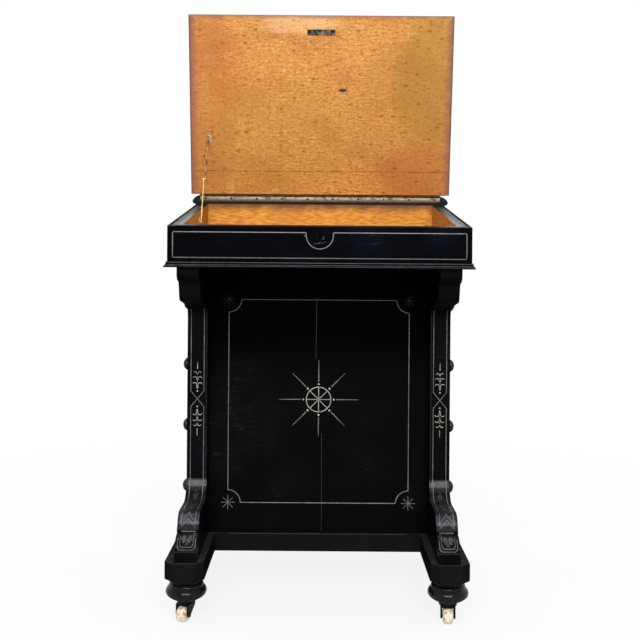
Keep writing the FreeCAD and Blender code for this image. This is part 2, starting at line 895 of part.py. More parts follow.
keep(stay_arm(lower_x, stay_y, stay_z, turned_back=False), "stay_lower_arm")
keep(stay_arm(upper_x, stay_reach_y + stay_y, stay_reach_z + stay_z, turned_back=True),
     "stay_upper_arm")

box_plate = block((-well_x, -well_x + s.stay_plate_thickness),
                  (stay_y - s.stay_box_plate_width / 2, stay_y + s.stay_box_plate_width / 2),
                  (stay_z - s.stay_box_plate_height / 2, stay_z + s.stay_box_plate_height / 2))
pin_end = lower_x + s.stay_bar_thickness + s.running_clearance
box_pin = rod(s.stay_pin_radius, pin_end + well_x, -well_x, stay_y, stay_z, "X")
box_pin_head = rod(s.stay_rivet_radius, s.stay_rivet_height, pin_end, stay_y, stay_z, "X")
keep(join([box_plate, box_pin, box_pin_head]), "stay_box_bracket")

lid_plate_along = (s.stay_lid_distance - s.stay_lid_plate_length / 2,
                   s.stay_lid_distance + s.stay_lid_plate_length / 2)
ear_end = ear_x + s.stay_ear_thickness
ear_middle = (ear_x + ear_end) / 2
lid_plate = lid_block((ear_middle - s.stay_lid_plate_width / 2, ear_middle + s.stay_lid_plate_width / 2),
                      lid_plate_along, (under, under + s.stay_plate_thickness))
ear_half = s.stay_ear_margin
ear = lid_block((ear_x, ear_end), (s.stay_lid_distance - ear_half, s.stay_lid_distance + ear_half),
                (under, stay_depth + ear_half))
lid_pin_start = upper_x - s.running_clearance * 2
lid_pin = rod(s.stay_pin_radius, ear_end - lid_pin_start, lid_pin_start,
              stay_reach_y + stay_y, stay_reach_z + stay_z, "X")
keep(join([lid_plate, ear, lid_pin]), "stay_lid_bracket")

# ---------------------------------------------------------------- pedestal

inner_half_y = (panel_inner_y, back_inner_y)
opening_bottom = runner_top + s.deck_thickness
opening_height = (s.pedestal_height - s.deck_thickness * 2
                  - s.divider_thickness * (DRAWER_COUNT - 1)) / DRAWER_COUNT
opening_pitch = opening_height + s.divider_thickness
side_inner_x = -half_pedestal + s.side_panel_thickness + s.false_front_thickness


def opening(number):
    """Low and high levels of a drawer opening; number 1 is the top one."""
    low = opening_bottom + opening_pitch * (DRAWER_COUNT - number)
    return low, low + opening_height


full_width = (-half_pedestal, half_pedestal)
keep(block(full_width, (panel_y, panel_inner_y), (runner_top, box_bottom)), "pedestal_front")
keep(block(full_width, (back_inner_y, pedestal_back_y), (runner_top, box_bottom)), "pedestal_back")
keep(block(full_width, inner_half_y, (runner_top, opening_bottom)), "base_board")
keep(block(full_width, inner_half_y, (box_bottom - s.deck_thickness, box_bottom)), "top_board")

side_board = block((-half_pedestal, side_inner_x), inner_half_y,
                   (opening_bottom, box_bottom - s.deck_thickness))
slots = []
false_fronts = []
for number in range(1, DRAWER_COUNT + 1):
    low, high = opening(number)
    slot_x = (-half_pedestal, -half_pedestal + s.false_front_thickness)
    slots.append(block(slot_x, inner_half_y, (low, high)))
    false_fronts.append(block(slot_x, (panel_inner_y + s.drawer_gap, back_inner_y - s.drawer_gap),
                              (low + s.drawer_gap, high - s.drawer_gap)))
keep(cut(side_board, slots), "side_panel_left")

dividers = [
    block((side_inner_x, half_pedestal), inner_half_y,
          (opening(number)[0] - s.divider_thickness, opening(number)[0]))
    for number in range(1, DRAWER_COUNT)
]
keep(group(dividers), "drawer_dividers")

# ---------------------------------------------------------------- knobs and drawers

knob_base = s.knob_reach - s.knob_crown - s.knob_rim
crown_radius = (s.knob_radius * s.knob_radius + s.knob_crown * s.knob_crown) / (s.knob_crown * 2)
knob_middle_y = (panel_inner_y + back_inner_y) / 2


def knob(side, y, z):
    """A turned mushroom knob on the right (1) or left (-1) face of the pedestal."""
    body = turned([
        (0, -s.knob_tenon),
        (s.knob_tenon_radius, -s.knob_tenon),
        (s.knob_tenon_radius, 0),
        (s.knob_neck_radius, 0),
        (s.knob_neck_radius, s.knob_neck_height),
        (s.knob_radius, knob_base, -s.knob_flare),
        (s.knob_radius, knob_base + s.knob_rim),
        (0, s.knob_reach, crown_radius),
    ])
    turn(body, (0, 1, 0), 90 * side)
    return put(body, half_pedestal * side, y, z)


def knob_places():
    return (knob_middle_y - s.knob_spacing / 2, knob_middle_y + s.knob_spacing / 2)


def tenon_holes(side, z):
    """Holes that take the knobs' tenons, from the face inward."""
    start = half_pedestal - s.knob_tenon if side > 0 else -half_pedestal
    return [rod(s.knob_tenon_radius, s.knob_tenon, start, y, z, "X") for y in knob_places()]


holed_fronts = []
false_knobs = []
for number, front in enumerate(false_fronts, start=1):
    low, high = opening(number)
    middle_z = (low + high) / 2
    holed_fronts.append(cut(front, tenon_holes(-1, middle_z)))
    false_knobs += [knob(-1, y, middle_z) for y in knob_places()]
keep(group(holed_fronts), "false_fronts")
keep(group(false_knobs), "false_knobs")

drawer_y = (panel_inner_y + s.drawer_gap, back_inner_y - s.drawer_gap)
drawer_front_x = half_pedestal - s.drawer_front_thickness
drawer_back_x = side_inner_x + s.drawer_back_space
for number in range(1, DRAWER_COUNT + 1):
    low, high = opening(number)
    low = low + s.drawer_gap
    high = high - s.drawer_gap
    middle_z = (low + high) / 2
    front = block((drawer_front_x, half_pedestal), drawer_y, (low, high))
    keep(cut(front, tenon_holes(1, middle_z)), f"drawer_{number}_front")

    top = high - s.drawer_side_drop
    side_y = (drawer_y[0] + s.drawer_side_thickness, drawer_y[1] - s.drawer_side_thickness)
    back_x = drawer_back_x + s.drawer_side_thickness
    keep(group([
        block((drawer_back_x, drawer_front_x), (drawer_y[0], side_y[0]), (low, top)),
        block((drawer_back_x, drawer_front_x), (side_y[1], drawer_y[1]), (low, top)),
        block((drawer_back_x, back_x), side_y, (low, top)),
        block((back_x, drawer_front_x), side_y, (low, low + s.drawer_bottom_thickness)),
    ]), f"drawer_{number}_box")
    keep(group([knob(1, y, middle_z) for y in knob_places()]), f"drawer_{number}_knobs")

# ---------------------------------------------------------------- scroll-cut supports


def support_outline():
    """Side view of a support: a toe and scroll below, a column, and a bracket above."""
    top = box_bottom
    foot = runner_top
    column = front_y + s.column_setback
    bracket = front_y + s.bracket_setback
    swell_z = top - s.bracket_block_height - s.bracket_swell_height
    swell = bracket + s.bracket_swell_reach
    throat_z = swell_z - s.bracket_step - s.bracket_throat_height
    throat = swell + s.bracket_step + s.bracket_throat_reach
    toe = front_y + s.toe_setback
    scroll = front_y + s.scroll_nose_setback
    nose = scroll - s.scroll_nose_reach
    neck = nose - s.scroll_throat_reach
    facet = column - s.scroll_facet
    scroll_top = foot + s.scroll_height
    return [
        (toe, foot),
        (panel_y, foot),
        (panel_y, top),
        (bracket, top),
        (bracket, top - s.bracket_block_height),
        (swell, swell_z, s.bracket_swell_radius),
        (swell + s.bracket_step, swell_z - s.bracket_step),
        (throat, throat_z),
        (throat + s.bracket_nose_reach, throat_z - s.bracket_nose_height, s.bracket_nose_radius),
        (column - s.bracket_cove, top - s.bracket_height),
        (column, top - s.bracket_height - s.bracket_cove, -s.bracket_cove),
        (column, scroll_top + s.scroll_cove_height + s.scroll_facet_height),
        (facet, scroll_top + s.scroll_cove_height),
        (facet - s.scroll_cove_reach, scroll_top, -s.scroll_cove_radius),
        (scroll, scroll_top),
        (nose, scroll_top - s.scroll_nose_height, s.scroll_nose_radius),
        (neck, foot + s.scroll_throat_top),
        (neck, foot + s.scroll_throat_bottom),
        (toe + s.toe_step, foot + s.toe_height, s.toe_radius),
        (toe, foot + s.toe_block_height),
    ]


keep(upright(support_outline(), -half_pedestal, s.support_thickness), "support_left")
keep(upright(support_outline(), half_pedestal - s.support_thickness, s.support_thickness),
     "support_right")

# ---------------------------------------------------------------- runners, aprons and feet

runner_end = s.box_depth - s.runner_back_setback


def runner(x_low):
    """A runner with its four upright corners and the lower edge of both ends bevelled."""
    corner = s.runner_corner
    bevel = s.runner_bevel
    width = s.runner_width
    body = new_body()
    pad(body, "XY", [[
        (corner, 0),
        (width - corner, 0),
        (width, corner),
        (width, runner_end - corner),
        (width - corner, runner_end),
        (corner, runner_end),
        (0, runner_end - corner),
        (0, corner),
    ]], s.runner_height)
    pocket(body, "YZ", [
        [(0, 0), (bevel, 0), (0, bevel)],
        [(runner_end, 0), (runner_end, bevel), (runner_end - bevel, 0)],
    ])
    return put(body, x_low, front_y, runner_bottom)


keep(runner(-runner_inner_x - s.runner_width), "runner_left")
keep(runner(runner_inner_x), "runner_right")

apron_x = (-runner_inner_x, runner_inner_x)
front_apron_y = panel_y - s.apron_reach
back_apron_y = pedestal_back_y + s.apron_reach
keep(block(apron_x, (front_apron_y, front_apron_y + s.apron_thickness), (runner_bottom, runner_top)),
     "apron_front")
keep(block(apron_x, (back_apron_y - s.apron_thickness, back_apron_y), (runner_bottom, runner_top)),
     "apron_back")

foot_x = runner_inner_x + s.runner_width / 2
foot_front_y = front_y + s.foot_setback
foot_rear_y = back_y - s.foot_setback
CORNERS = {
    "front_left": (-foot_x, foot_front_y),
    "front_right": (foot_x, foot_front_y),
    "rear_left": (-foot_x, foot_rear_y),
    "rear_right": (foot_x, foot_rear_y),
}
pintle_bore = s.pintle_radius + s.running_clearance
collar_z = s.foot_height - s.foot_collar_height


def bun_foot(x, y):
    """A turned bun foot under a flat collar, bored from below for its caster."""
    body = turned([
        (pintle_bore, 0),
        (s.foot_sole_radius, 0),
        (s.foot_radius, s.foot_belly_height, s.foot_lower_curve),
        (s.foot_neck_radius, s.foot_neck_height, s.foot_upper_curve),
        (s.foot_neck_radius, collar_z - s.foot_collar_bevel),
        (s.foot_collar_radius, collar_z),
        (s.foot_collar_radius, s.foot_height),
        (0, s.foot_height),
        (0, s.foot_bore_depth),
        (pintle_bore, s.foot_bore_depth),
    ])
    return put(body, x, y, foot_bottom)


keep(group([bun_foot(x, y) for x, y in CORNERS.values()]), "bun_feet")

# ---------------------------------------------------------------- casters

cheek_gap = s.wheel_width / 2 + s.fork_gap
cheek_x = cheek_gap + s.fork_thickness


def swivel(item, corner):
    """Stand a caster piece, drawn trailing along Y, under its foot and turn it."""
    x, y = CORNERS[corner]
    angle = driving(f"{corner}_turn")
    turn(item, (0, 0, 1), angle)
    put(item, x, y, 0)
    item.setExpression(".Placement.Rotation.Angle", f"{angle.formula} * 1 deg")
    return item


def socket(x, y):
    disc = rod(s.socket_radius, s.socket_thickness, x, y, socket_bottom)
    return cut(disc, [rod(pintle_bore, s.socket_thickness, x, y, socket_bottom)])


def caster_fork():
    """A horn: two cheeks under a bridge, with the axle between them and a pintle on top."""
    cheek = [
        (s.caster_trail - s.axle_boss, s.wheel_radius),
        (s.caster_trail, s.wheel_radius - s.axle_boss, s.axle_boss),
        (s.caster_trail + s.axle_boss, s.wheel_radius, s.axle_boss),
        (s.caster_trail + s.axle_boss, bridge_top),
        (-s.bridge_nose, bridge_top),
        (-s.bridge_nose, bridge_bottom),
    ]
    bridge = block((-cheek_x, cheek_x), (-s.bridge_nose, s.caster_trail + s.axle_boss),
                   (bridge_bottom, bridge_top))
    axle = rod(s.axle_radius, cheek_x * 2, -cheek_x, s.caster_trail, s.wheel_radius, "X")
    pintle = rod(s.pintle_radius, s.pintle_length + s.bridge_thickness, 0, 0, bridge_bottom)
    cheeks = [upright(cheek, -cheek_x, s.fork_thickness), upright(cheek, cheek_gap, s.fork_thickness)]
    return join(cheeks + [bridge, axle, pintle])


def caster_wheel():
    half = s.wheel_width / 2
    bore = s.axle_radius + s.running_clearance
    body = turned([
        (bore, -half),
        (s.wheel_radius - s.wheel_round, -half),
        (s.wheel_radius, -half + s.wheel_round, s.wheel_round),
        (s.wheel_radius, half - s.wheel_round),
        (s.wheel_radius - s.wheel_round, half, s.wheel_round),
        (bore, half),
    ])
    turn(body, (0, 1, 0), 90)
    return group([put(body, 0, s.caster_trail, s.wheel_radius)])


keep(group([socket(x, y) for x, y in CORNERS.values()]), "caster_sockets")
for corner in CORNERS:
    keep(swivel(caster_fork(), corner), f"caster_fork_{corner}")
    keep(swivel(caster_wheel(), corner), f"caster_wheel_{corner}")

# ---------------------------------------------------------------- check and write out

document.recompute()
for item in document.Objects:
    if {"Invalid", "Error"} & set(item.State):
        raise RuntimeError(f"{item.Label} ({item.Name}) did not compute: {item.State}")
for item in nodes:
    if item.Shape.isNull() or not item.Shape.isValid():
        raise RuntimeError(f"{item.Label} has no valid shape")

os.makedirs("parts", exist_ok=True)
for item in nodes:
    item.Shape.exportStep(f"parts/{item.Label}.step")
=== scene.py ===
# %% [markdown]
# # Dressing a davenport desk
#
# A davenport is a small writing desk: a sloped box on a narrow pedestal of drawers.  Its wood is
# ebonised, which means stained black and polished until it shines, and thin pale lines are let
# into the black.  The solid pieces come ready made.  This lesson gives them their finishes, adds
# the inlaid and incised lines, and sets up a small studio.

# %% Load the solid pieces
import json
import math
from functools import partial

import bpy
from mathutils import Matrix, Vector


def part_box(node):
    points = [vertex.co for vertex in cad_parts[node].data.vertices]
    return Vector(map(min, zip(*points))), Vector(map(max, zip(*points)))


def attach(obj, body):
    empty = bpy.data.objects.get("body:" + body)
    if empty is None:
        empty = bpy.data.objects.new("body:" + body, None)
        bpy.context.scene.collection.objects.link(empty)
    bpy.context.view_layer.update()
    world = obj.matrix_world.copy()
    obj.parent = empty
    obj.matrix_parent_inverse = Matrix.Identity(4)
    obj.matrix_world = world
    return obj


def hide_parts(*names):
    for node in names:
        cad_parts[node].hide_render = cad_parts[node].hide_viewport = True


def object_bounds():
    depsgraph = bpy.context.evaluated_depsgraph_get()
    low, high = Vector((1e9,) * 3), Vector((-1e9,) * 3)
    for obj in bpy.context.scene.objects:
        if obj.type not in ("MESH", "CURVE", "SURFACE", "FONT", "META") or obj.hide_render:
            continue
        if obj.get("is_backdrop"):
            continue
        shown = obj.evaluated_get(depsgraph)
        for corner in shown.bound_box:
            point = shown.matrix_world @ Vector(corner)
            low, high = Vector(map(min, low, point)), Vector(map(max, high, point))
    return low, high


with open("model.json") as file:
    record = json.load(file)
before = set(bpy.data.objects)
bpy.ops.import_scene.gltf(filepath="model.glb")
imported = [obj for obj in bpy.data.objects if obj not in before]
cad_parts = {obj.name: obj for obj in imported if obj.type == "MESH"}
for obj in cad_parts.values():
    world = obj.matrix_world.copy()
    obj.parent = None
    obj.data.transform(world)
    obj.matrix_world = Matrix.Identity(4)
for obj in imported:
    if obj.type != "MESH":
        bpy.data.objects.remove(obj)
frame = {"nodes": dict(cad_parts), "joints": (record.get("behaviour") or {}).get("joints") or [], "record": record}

cad_low, cad_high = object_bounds()
nodes = frame["nodes"]
print("pieces:", len(nodes), "height in metres:", round(cad_high.z - cad_low.z, 3))

# %% [markdown]
# ## Faces that the other sizes hang from
#
# Every size below is written in millimetres and read off the solid pieces wherever it can be, so
# the lines stay on their boards if a board is made larger.

# %% Faces and edges of the desk
MM = 0.001


def reach(node, end, axis):
    """Lowest (0) or highest (1) place of a node along X, Y or Z (0, 1 or 2), in millimetres."""
    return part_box(node)[end][axis] / MM


BOX_FACE = reach("box_front", 0, 1)
BOX_SIDE = reach("box_front", 1, 0)
BOX_BOTTOM = reach("box_front", 0, 2)
PANEL_BOTTOM = reach("pedestal_front", 0, 2)
PANEL_TOP = reach("pedestal_front", 1, 2)
COLUMN_OUTSIDE = reach("support_left", 0, 0)
COLUMN_INSIDE = reach("support_left", 1, 0)
SHELF_TOP = reach("rear_shelf", 1, 2)
print("box face", round(BOX_FACE), "panel top", round(PANEL_TOP), "shelf top", round(SHELF_TOP))

# %% [markdown]
# ## Helpers for editing a mesh
#
# Blender's operators act on whatever is selected.  So the first habit to learn is to deselect
# everything, then to select exactly what the next tool should touch.  The helpers below choose
# faces and edges by where they are, which is what a hand on the mouse would do by eye.


# %% Selecting and editing
def only(piece):
    """Select one piece and nothing else."""
    bpy.ops.object.select_all(action="DESELECT")
    piece.select_set(True)
    bpy.context.view_layer.objects.active = piece


def settle(piece):
    """Write a piece's place, turn and scale into its mesh."""
    only(piece)
    bpy.ops.object.transform_apply(location=True, rotation=True, scale=True)
    return piece


def choose(piece, kind, test):
    """Enter edit mode, with the VERT, EDGE or FACE parts selected whose corners pass a test."""
    only(piece)
    bpy.ops.object.mode_set(mode="EDIT")
    bpy.ops.mesh.select_mode(type=kind)
    bpy.ops.mesh.select_all(action="DESELECT")
    bpy.ops.object.mode_set(mode="OBJECT")
    mesh = piece.data
    parts = {"VERT": mesh.vertices, "EDGE": mesh.edges, "FACE": mesh.polygons}[kind]
    for part in parts:
        corners = [part.index] if kind == "VERT" else part.vertices
        part.select = test([mesh.vertices[corner].co / MM for corner in corners])
    bpy.ops.object.mode_set(mode="EDIT")


def leave_edit():
    bpy.ops.object.mode_set(mode="OBJECT")


def everything(corners):
    """A test that chooses every part."""
    return True


def edit(piece, kind, test, tool, **settings):
    """Choose parts of a piece, use one tool on them and leave edit mode."""
    choose(piece, kind, test)
    tool(**settings)
    leave_edit()


def weld(threshold=0.00001):
    """In edit mode, merge points that lie together and turn every face outward."""
    bpy.ops.mesh.select_all(action="SELECT")
    bpy.ops.mesh.remove_doubles(threshold=threshold)
    bpy.ops.mesh.normals_make_consistent(inside=False)


def smooth(piece):
    """Shade a piece smooth, with its corners of more than 35 degrees left sharp."""
    only(piece)
    bpy.ops.object.shade_smooth_by_angle(angle=math.radians(35))
    return piece


def discard(piece):
    only(piece)
    bpy.ops.object.delete()


def use(piece, kind, **settings):
    """Add a modifier with these settings and apply it."""
    only(piece)
    modifier = piece.modifiers.new("step", kind)
    for name, value in settings.items():
        setattr(modifier, name, value)
    bpy.ops.object.modifier_apply(modifier=modifier.name)
    return piece


def merge(pieces):
    """Join several pieces into one mesh."""
    only(pieces[0])
    for piece in pieces[1:]:
        piece.select_set(True)
    bpy.ops.object.join()
    return bpy.context.object


def duplicate(piece):
    """A copy with a mesh of its own."""
    only(piece)
    bpy.ops.object.duplicate(linked=False)
    return bpy.context.object


def block(add, middle, size, rotation=(0, 0, 0)):
    """Add a plane or a cube at a place in metres, stretched to a size in millimetres."""
    bpy.ops.object.select_all(action="DESELECT")
    add(size=MM, location=middle, rotation=rotation)
    piece = bpy.context.object
    piece.scale = size
    return settle(piece)


def disc(radius, vertices, middle, rotation=(0, 0, 0)):
    """Add a filled disc at a place in metres; its radius is in millimetres."""
    bpy.ops.object.select_all(action="DESELECT")
    bpy.ops.mesh.primitive_circle_add(vertices=vertices, radius=radius * MM, fill_type="NGON",
                                      location=middle, rotation=rotation)
    return settle(bpy.context.object)


def finish(piece, name, material, body="root"):
    """Name a finished piece, give it its material and let it ride on a body."""
    settle(piece)
    piece.name = name
    piece.data.materials.clear()
    piece.data.materials.append(material)
    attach(piece, body)
    print(name, "faces:", len(piece.data.polygons))
    return piece


# %% [markdown]
# ## Helpers for materials
#
# A procedural material is a small recipe of nodes.  Writing the nodes through short helpers keeps
# each finish readable: one line makes one node and joins it to the ones before it.  An output
# knows the tree that it stands in, so most helpers need only the outputs that they work on.


# %% Building node recipes
def recipe(name, roughness, metallic=0.0, specular=0.5):
    """A new material: returns it with its node tree and its surface shader."""
    material = bpy.data.materials.new(name)
    material.use_nodes = True
    tree = material.node_tree
    shader = tree.nodes["Principled BSDF"]
    shader.inputs["Roughness"].default_value = roughness
    shader.inputs["Metallic"].default_value = metallic
    shader.inputs["Specular IOR Level"].default_value = specular
    return material, tree, shader


def node(tree, kind, inputs, **settings):
    """Add a node; each input is either a plain value or another node's output."""
    made = tree.nodes.new(kind)
    for name, value in settings.items():
        setattr(made, name, value)
    for name, value in inputs.items():
        if isinstance(value, bpy.types.NodeSocket):
            tree.links.new(value, made.inputs[name])
        else:
            made.inputs[name].default_value = value
    return made


def place(tree, stretch=(1, 1, 1)):
    """Coordinates of the piece in metres, multiplied along each axis."""
    source = node(tree, "ShaderNodeTexCoord", {}).outputs["Object"]
    return node(tree, "ShaderNodeMapping", {"Vector": source, "Scale": stretch}).outputs["Vector"]


def coordinate(vector, axis):
    """X, Y or Z of a vector."""
    return node(vector.id_data, "ShaderNodeSeparateXYZ", {"Vector": vector}).outputs[axis]


def facing(tree, axis):
    """How far the surface faces along an axis, from -1 to 1."""
    return coordinate(node(tree, "ShaderNodeNewGeometry", {}).outputs["Normal"], axis)


def length(vector):
    made = node(vector.id_data, "ShaderNodeVectorMath", {0: vector}, operation="LENGTH")
    return made.outputs["Value"]


def noise(vector, scale, detail=4.0, roughness=0.5):
    settings = {"Vector": vector, "Scale": scale, "Detail": detail, "Roughness": roughness}
    return node(vector.id_data, "ShaderNodeTexNoise", settings).outputs["Fac"]


def band(value, low, high, to_low=0.0, to_high=1.0):
    """Ease a value from to_low at low to to_high at high."""
    settings = {"Value": value, "From Min": low, "From Max": high,
                "To Min": to_low, "To Max": to_high}
    made = node(value.id_data, "ShaderNodeMapRange", settings, interpolation_type="SMOOTHSTEP")
    return made.outputs["Result"]


def calculate(operation, *values):
    """Arithmetic on the outputs of nodes and on plain numbers."""
    tree = next(value.id_data for value in values if isinstance(value, bpy.types.NodeSocket))
    return node(tree, "ShaderNodeMath", dict(enumerate(values)), operation=operation).outputs[0]


plus, minus, times, least, most, unsigned = [
    partial(calculate, operation)
    for operation in ("ADD", "SUBTRACT", "MULTIPLY", "MINIMUM", "MAXIMUM", "ABSOLUTE")]


def tint(amount, first, second):
    """Blend two colours by an amount from 0 to 1."""
    inputs = {0: amount}
    for socket, colour in ((6, first), (7, second)):
        joined = isinstance(colour, bpy.types.NodeSocket)
        inputs[socket] = colour if joined else (*colour, 1)
    return node(amount.id_data, "ShaderNodeMix", inputs, data_type="RGBA").outputs[2]


def bump(height, distance, strength, under=None):
    inputs = {"Height": height, "Distance": distance, "Strength": strength}
    if under is not None:
        inputs["Normal"] = under
    return node(height.id_data, "ShaderNodeBump", inputs).outputs["Normal"]


def feed(shader, **sockets):
    for name, value in sockets.items():
        shader.id_data.links.new(value, shader.inputs[name.replace("_", " ")])


def worn_edges(tree, radius):
    """A softened normal, and how near a sharp edge is: it turns away from the true one there."""
    soft = node(tree, "ShaderNodeBevel", {"Radius": radius}, samples=4).outputs["Normal"]
    true = node(tree, "ShaderNodeNewGeometry", {}).outputs["Normal"]
    along = node(tree, "ShaderNodeVectorMath", {0: soft, 1: true}, operation="DOT_PRODUCT")
    return soft, minus(1.0, along.outputs["Value"])


# %% [markdown]
# ## Ebonised wood
#
# The maker stained pear or mahogany black and rubbed shellac over it.  The result is a deep black
# with a soft gloss.  Age shows at the edges, where the polish rubs thin and brown wood glows
# through, and in faint scratches and a bluish bloom.  A bevel node softens the sharp edges in the
# shading, so that they catch the light as hand-worn edges do.

# %% Ebonised polish
BLACK = (0.0011, 0.0011, 0.0014)
BLUE_BLOOM = (0.0018, 0.0023, 0.0042)
RUBBED_BROWN = (0.030, 0.020, 0.015)
SCRATCH_GREY = (0.016, 0.015, 0.015)
# Dust on top faces, partly a painted sheen of reflected light.
DUST_AND_SHEEN = (0.040, 0.038, 0.037)
# Painted highlight: the lavender grey of the scroll's facet and nose.
HIGHLIGHT_GREY = (0.054, 0.054, 0.066)
# Painted highlight: the grey brown of the rear shelf's front edge.
SHELF_HIGHLIGHT_BROWN = (0.085, 0.062, 0.050)
SCROLL_HIGHLIGHT_BANDS = ((225, 237.5), (181, 199))
SHELF_HIGHLIGHT_BAND = ((reach("rear_shelf", 0, 2) + 5, SHELF_TOP - 1),)
# Painted shadow: the black of the box's shadow on the upper pedestal panel.
PAINTED_SHADOW_BLACK = (0.0002, 0.0002, 0.0002)
RIM_FROM, RIM_TO = BOX_SIDE - 7, BOX_SIDE - 5.5
SCRATCH_STRETCH = (1.5, 1.5, 16)
WOOD_EDGE = 0.0009
UPRIGHT, LEVEL, INWARD = (14, 14, 1.2), (1.2, 14, 14), (14, 1.2, 14)


def hairlines(tree, patches):
    """Fine scratches: the thin band where a stretched noise passes through its middle value."""
    wander = noise(place(tree, SCRATCH_STRETCH), 9.0, 2.0, 0.4)
    from_middle = unsigned(minus(wander, 0.5))
    line = band(from_middle, 0.016, 0.005)
    return times(line, band(patches, 0.56, 0.72))


def upward(tree):
    """1 on faces that look up, where a dusty film with painted sheen lies and hands rub, and 0 elsewhere."""
    return band(facing(tree, "Z"), 0.55, 0.9)


def downward(tree):
    """1 on faces that look down, which a polisher leaves rough, and 0 elsewhere."""
    return band(facing(tree, "Z"), -0.1, -0.5)


def highlight_bands(tree, heights):
    """1 on forward-facing wood between each (low, high) in millimetres, where a highlight is painted and the coat
    is glossier.
    """
    height = coordinate(place(tree), "Z")
    total = 0.0
    for low, high in heights:
        rise = band(height, (low - 1.5) * MM, (low + 2.5) * MM)
        fall = band(height, (high + 1.5) * MM, (high - 2.5) * MM)
        total = plus(times(rise, fall), total)
    kept_edge = band(unsigned(coordinate(place(tree), "X")), -(COLUMN_OUTSIDE + 0.5) * MM,
                     -(COLUMN_OUTSIDE + 6) * MM, 0.15, 1.0)
    return times(times(total, kept_edge), band(facing(tree, "Y"), -0.35, -0.65))


def outer_rim(tree):
    """1 along the outer side of the box's sloping rims, which are kept black and rough, without the dusty film."""
    sideways = unsigned(coordinate(place(tree), "X"))
    return times(band(sideways, RIM_FROM * MM, RIM_TO * MM), upward(tree))


def darkening_shares(tree, darkened):
    """How much a spot is darkened, for each (from height, to height, share) in millimetres."""
    height = coordinate(place(tree), "Z")
    return [band(height, start * MM, end * MM, 0.0, share) for start, end, share in darkened]


def ebonised_polish(name, stretch, specular=0.05, dust_and_sheen=0.5, black=BLACK, bloom=BLUE_BLOOM,
                    gloss=(0.18, 0.34), rubbed=(), highlight_colour=HIGHLIGHT_GREY, dark_outer_rim=False,
                    darkened=()):
    """Black polish with bloom, scratches and rubbed edges, a dusty film with painted sheen on top faces, and the
    painted highlights and shadow of some boards.
    """
    material, tree, shader = recipe(name, roughness=0.3, specular=specular)
    cloudy = noise(place(tree), 9.0, 3.0)
    grain = noise(place(tree, stretch), 26.0, 6.0, 0.65)
    soft, nearness = worn_edges(tree, WOOD_EDGE)
    colour = tint(band(cloudy, 0.42, 0.72), black, bloom)
    colour = tint(hairlines(tree, cloudy), colour, SCRATCH_GREY)
    rub = noise(place(tree), 75.0, 4.0, 0.7)
    wear = times(band(nearness, 0.02, 0.3), band(rub, 0.5, 0.72))
    colour = tint(wear, colour, RUBBED_BROWN)
    up = upward(tree)
    dust_and_sheen_film = times(up, band(rub, 0.3, 0.7, 0.3, 1.0))
    # A dusty film on top faces, partly a painted sheen.
    colour = tint(times(dust_and_sheen_film, dust_and_sheen), colour, DUST_AND_SHEEN)
    rough = plus(band(grain, 0.25, 0.8, *gloss), times(up, 0.3))
    rough = plus(rough, times(downward(tree), 0.7))
    for darkening in darkening_shares(tree, darkened):
        colour = tint(darkening, colour, PAINTED_SHADOW_BLACK)
        rough = plus(rough, times(darkening, 0.5))
    # The outer side of the rims is left black and rough, without the dusty film and its painted sheen.
    if dark_outer_rim:
        rim = outer_rim(tree)
        colour = tint(rim, colour, BLACK)
        rough = plus(rough, times(rim, 0.7))
    # Painted highlight: the bands are tinted a paler colour and get a thin glossy coat.
    if rubbed:
        highlight_mask = highlight_bands(tree, rubbed)
        share = times(highlight_mask, band(rub, 0.36, 0.62, 0.25, 1.0))
        colour = tint(share, colour, highlight_colour)
        shader.inputs["Coat Roughness"].default_value = 0.22
        feed(shader, Coat_Weight=times(highlight_mask, 0.1))
    fine = bump(grain, 0.00006, 0.55, under=soft)
    feed(shader, Base_Color=colour, Roughness=rough, Normal=fine)
    return material


# The scroll's facet and nose carry a painted highlight.
ebonised_scroll = ebonised_polish("ebonised_rubbed_scroll", UPRIGHT, specular=0.035,
                                  rubbed=SCROLL_HIGHLIGHT_BANDS)
# The panel darkens towards its top: painted shadow of the box above it.
ebonised_panel = ebonised_polish("ebonised_flat_panel", UPRIGHT, specular=0.012,
                                 black=(0.0021, 0.0021, 0.0023), bloom=(0.0033, 0.0035, 0.0043),
                                 darkened=((PANEL_BOTTOM + 260, PANEL_TOP - 120, 0.95),))
ebonised_level = ebonised_polish("ebonised_level_grain", LEVEL)
ebonised_bloomed = ebonised_polish("ebonised_blue_bloom", LEVEL, specular=0.012,
                                   black=(0.0009, 0.0011, 0.0020), bloom=(0.0022, 0.0032, 0.0060))
ebonised_depth = ebonised_polish("ebonised_front_to_back_grain", INWARD, specular=0.16)
ebonised_rim = ebonised_polish("ebonised_box_side", INWARD, specular=0.10, dark_outer_rim=True)
ebonised_back = ebonised_polish("ebonised_back_board", UPRIGHT, specular=0.12)
# The runners get the full dusty film on their tops, partly a painted sheen.
ebonised_matt = ebonised_polish("ebonised_matt_runner", INWARD, specular=0.0, dust_and_sheen=1.0,
                                black=(0.0070, 0.0070, 0.0076), bloom=(0.0095, 0.0096, 0.0108))
ebonised_turned = ebonised_polish("ebonised_turned_work", (4, 4, 14), specular=0.19,
                                  gloss=(0.06, 0.15))
ebonised_moulded = ebonised_polish("ebonised_moulded_edge", LEVEL, specular=0.012)
# The rear shelf's front edge carries a painted highlight.
ebonised_shelf = ebonised_polish("ebonised_shelf_painted_highlight", LEVEL, specular=0.06,
                                 rubbed=SHELF_HIGHLIGHT_BAND, highlight_colour=SHELF_HIGHLIGHT_BROWN)
print("ebonised finishes:", len([m for m in bpy.data.materials if m.name.startswith("ebonised")]))

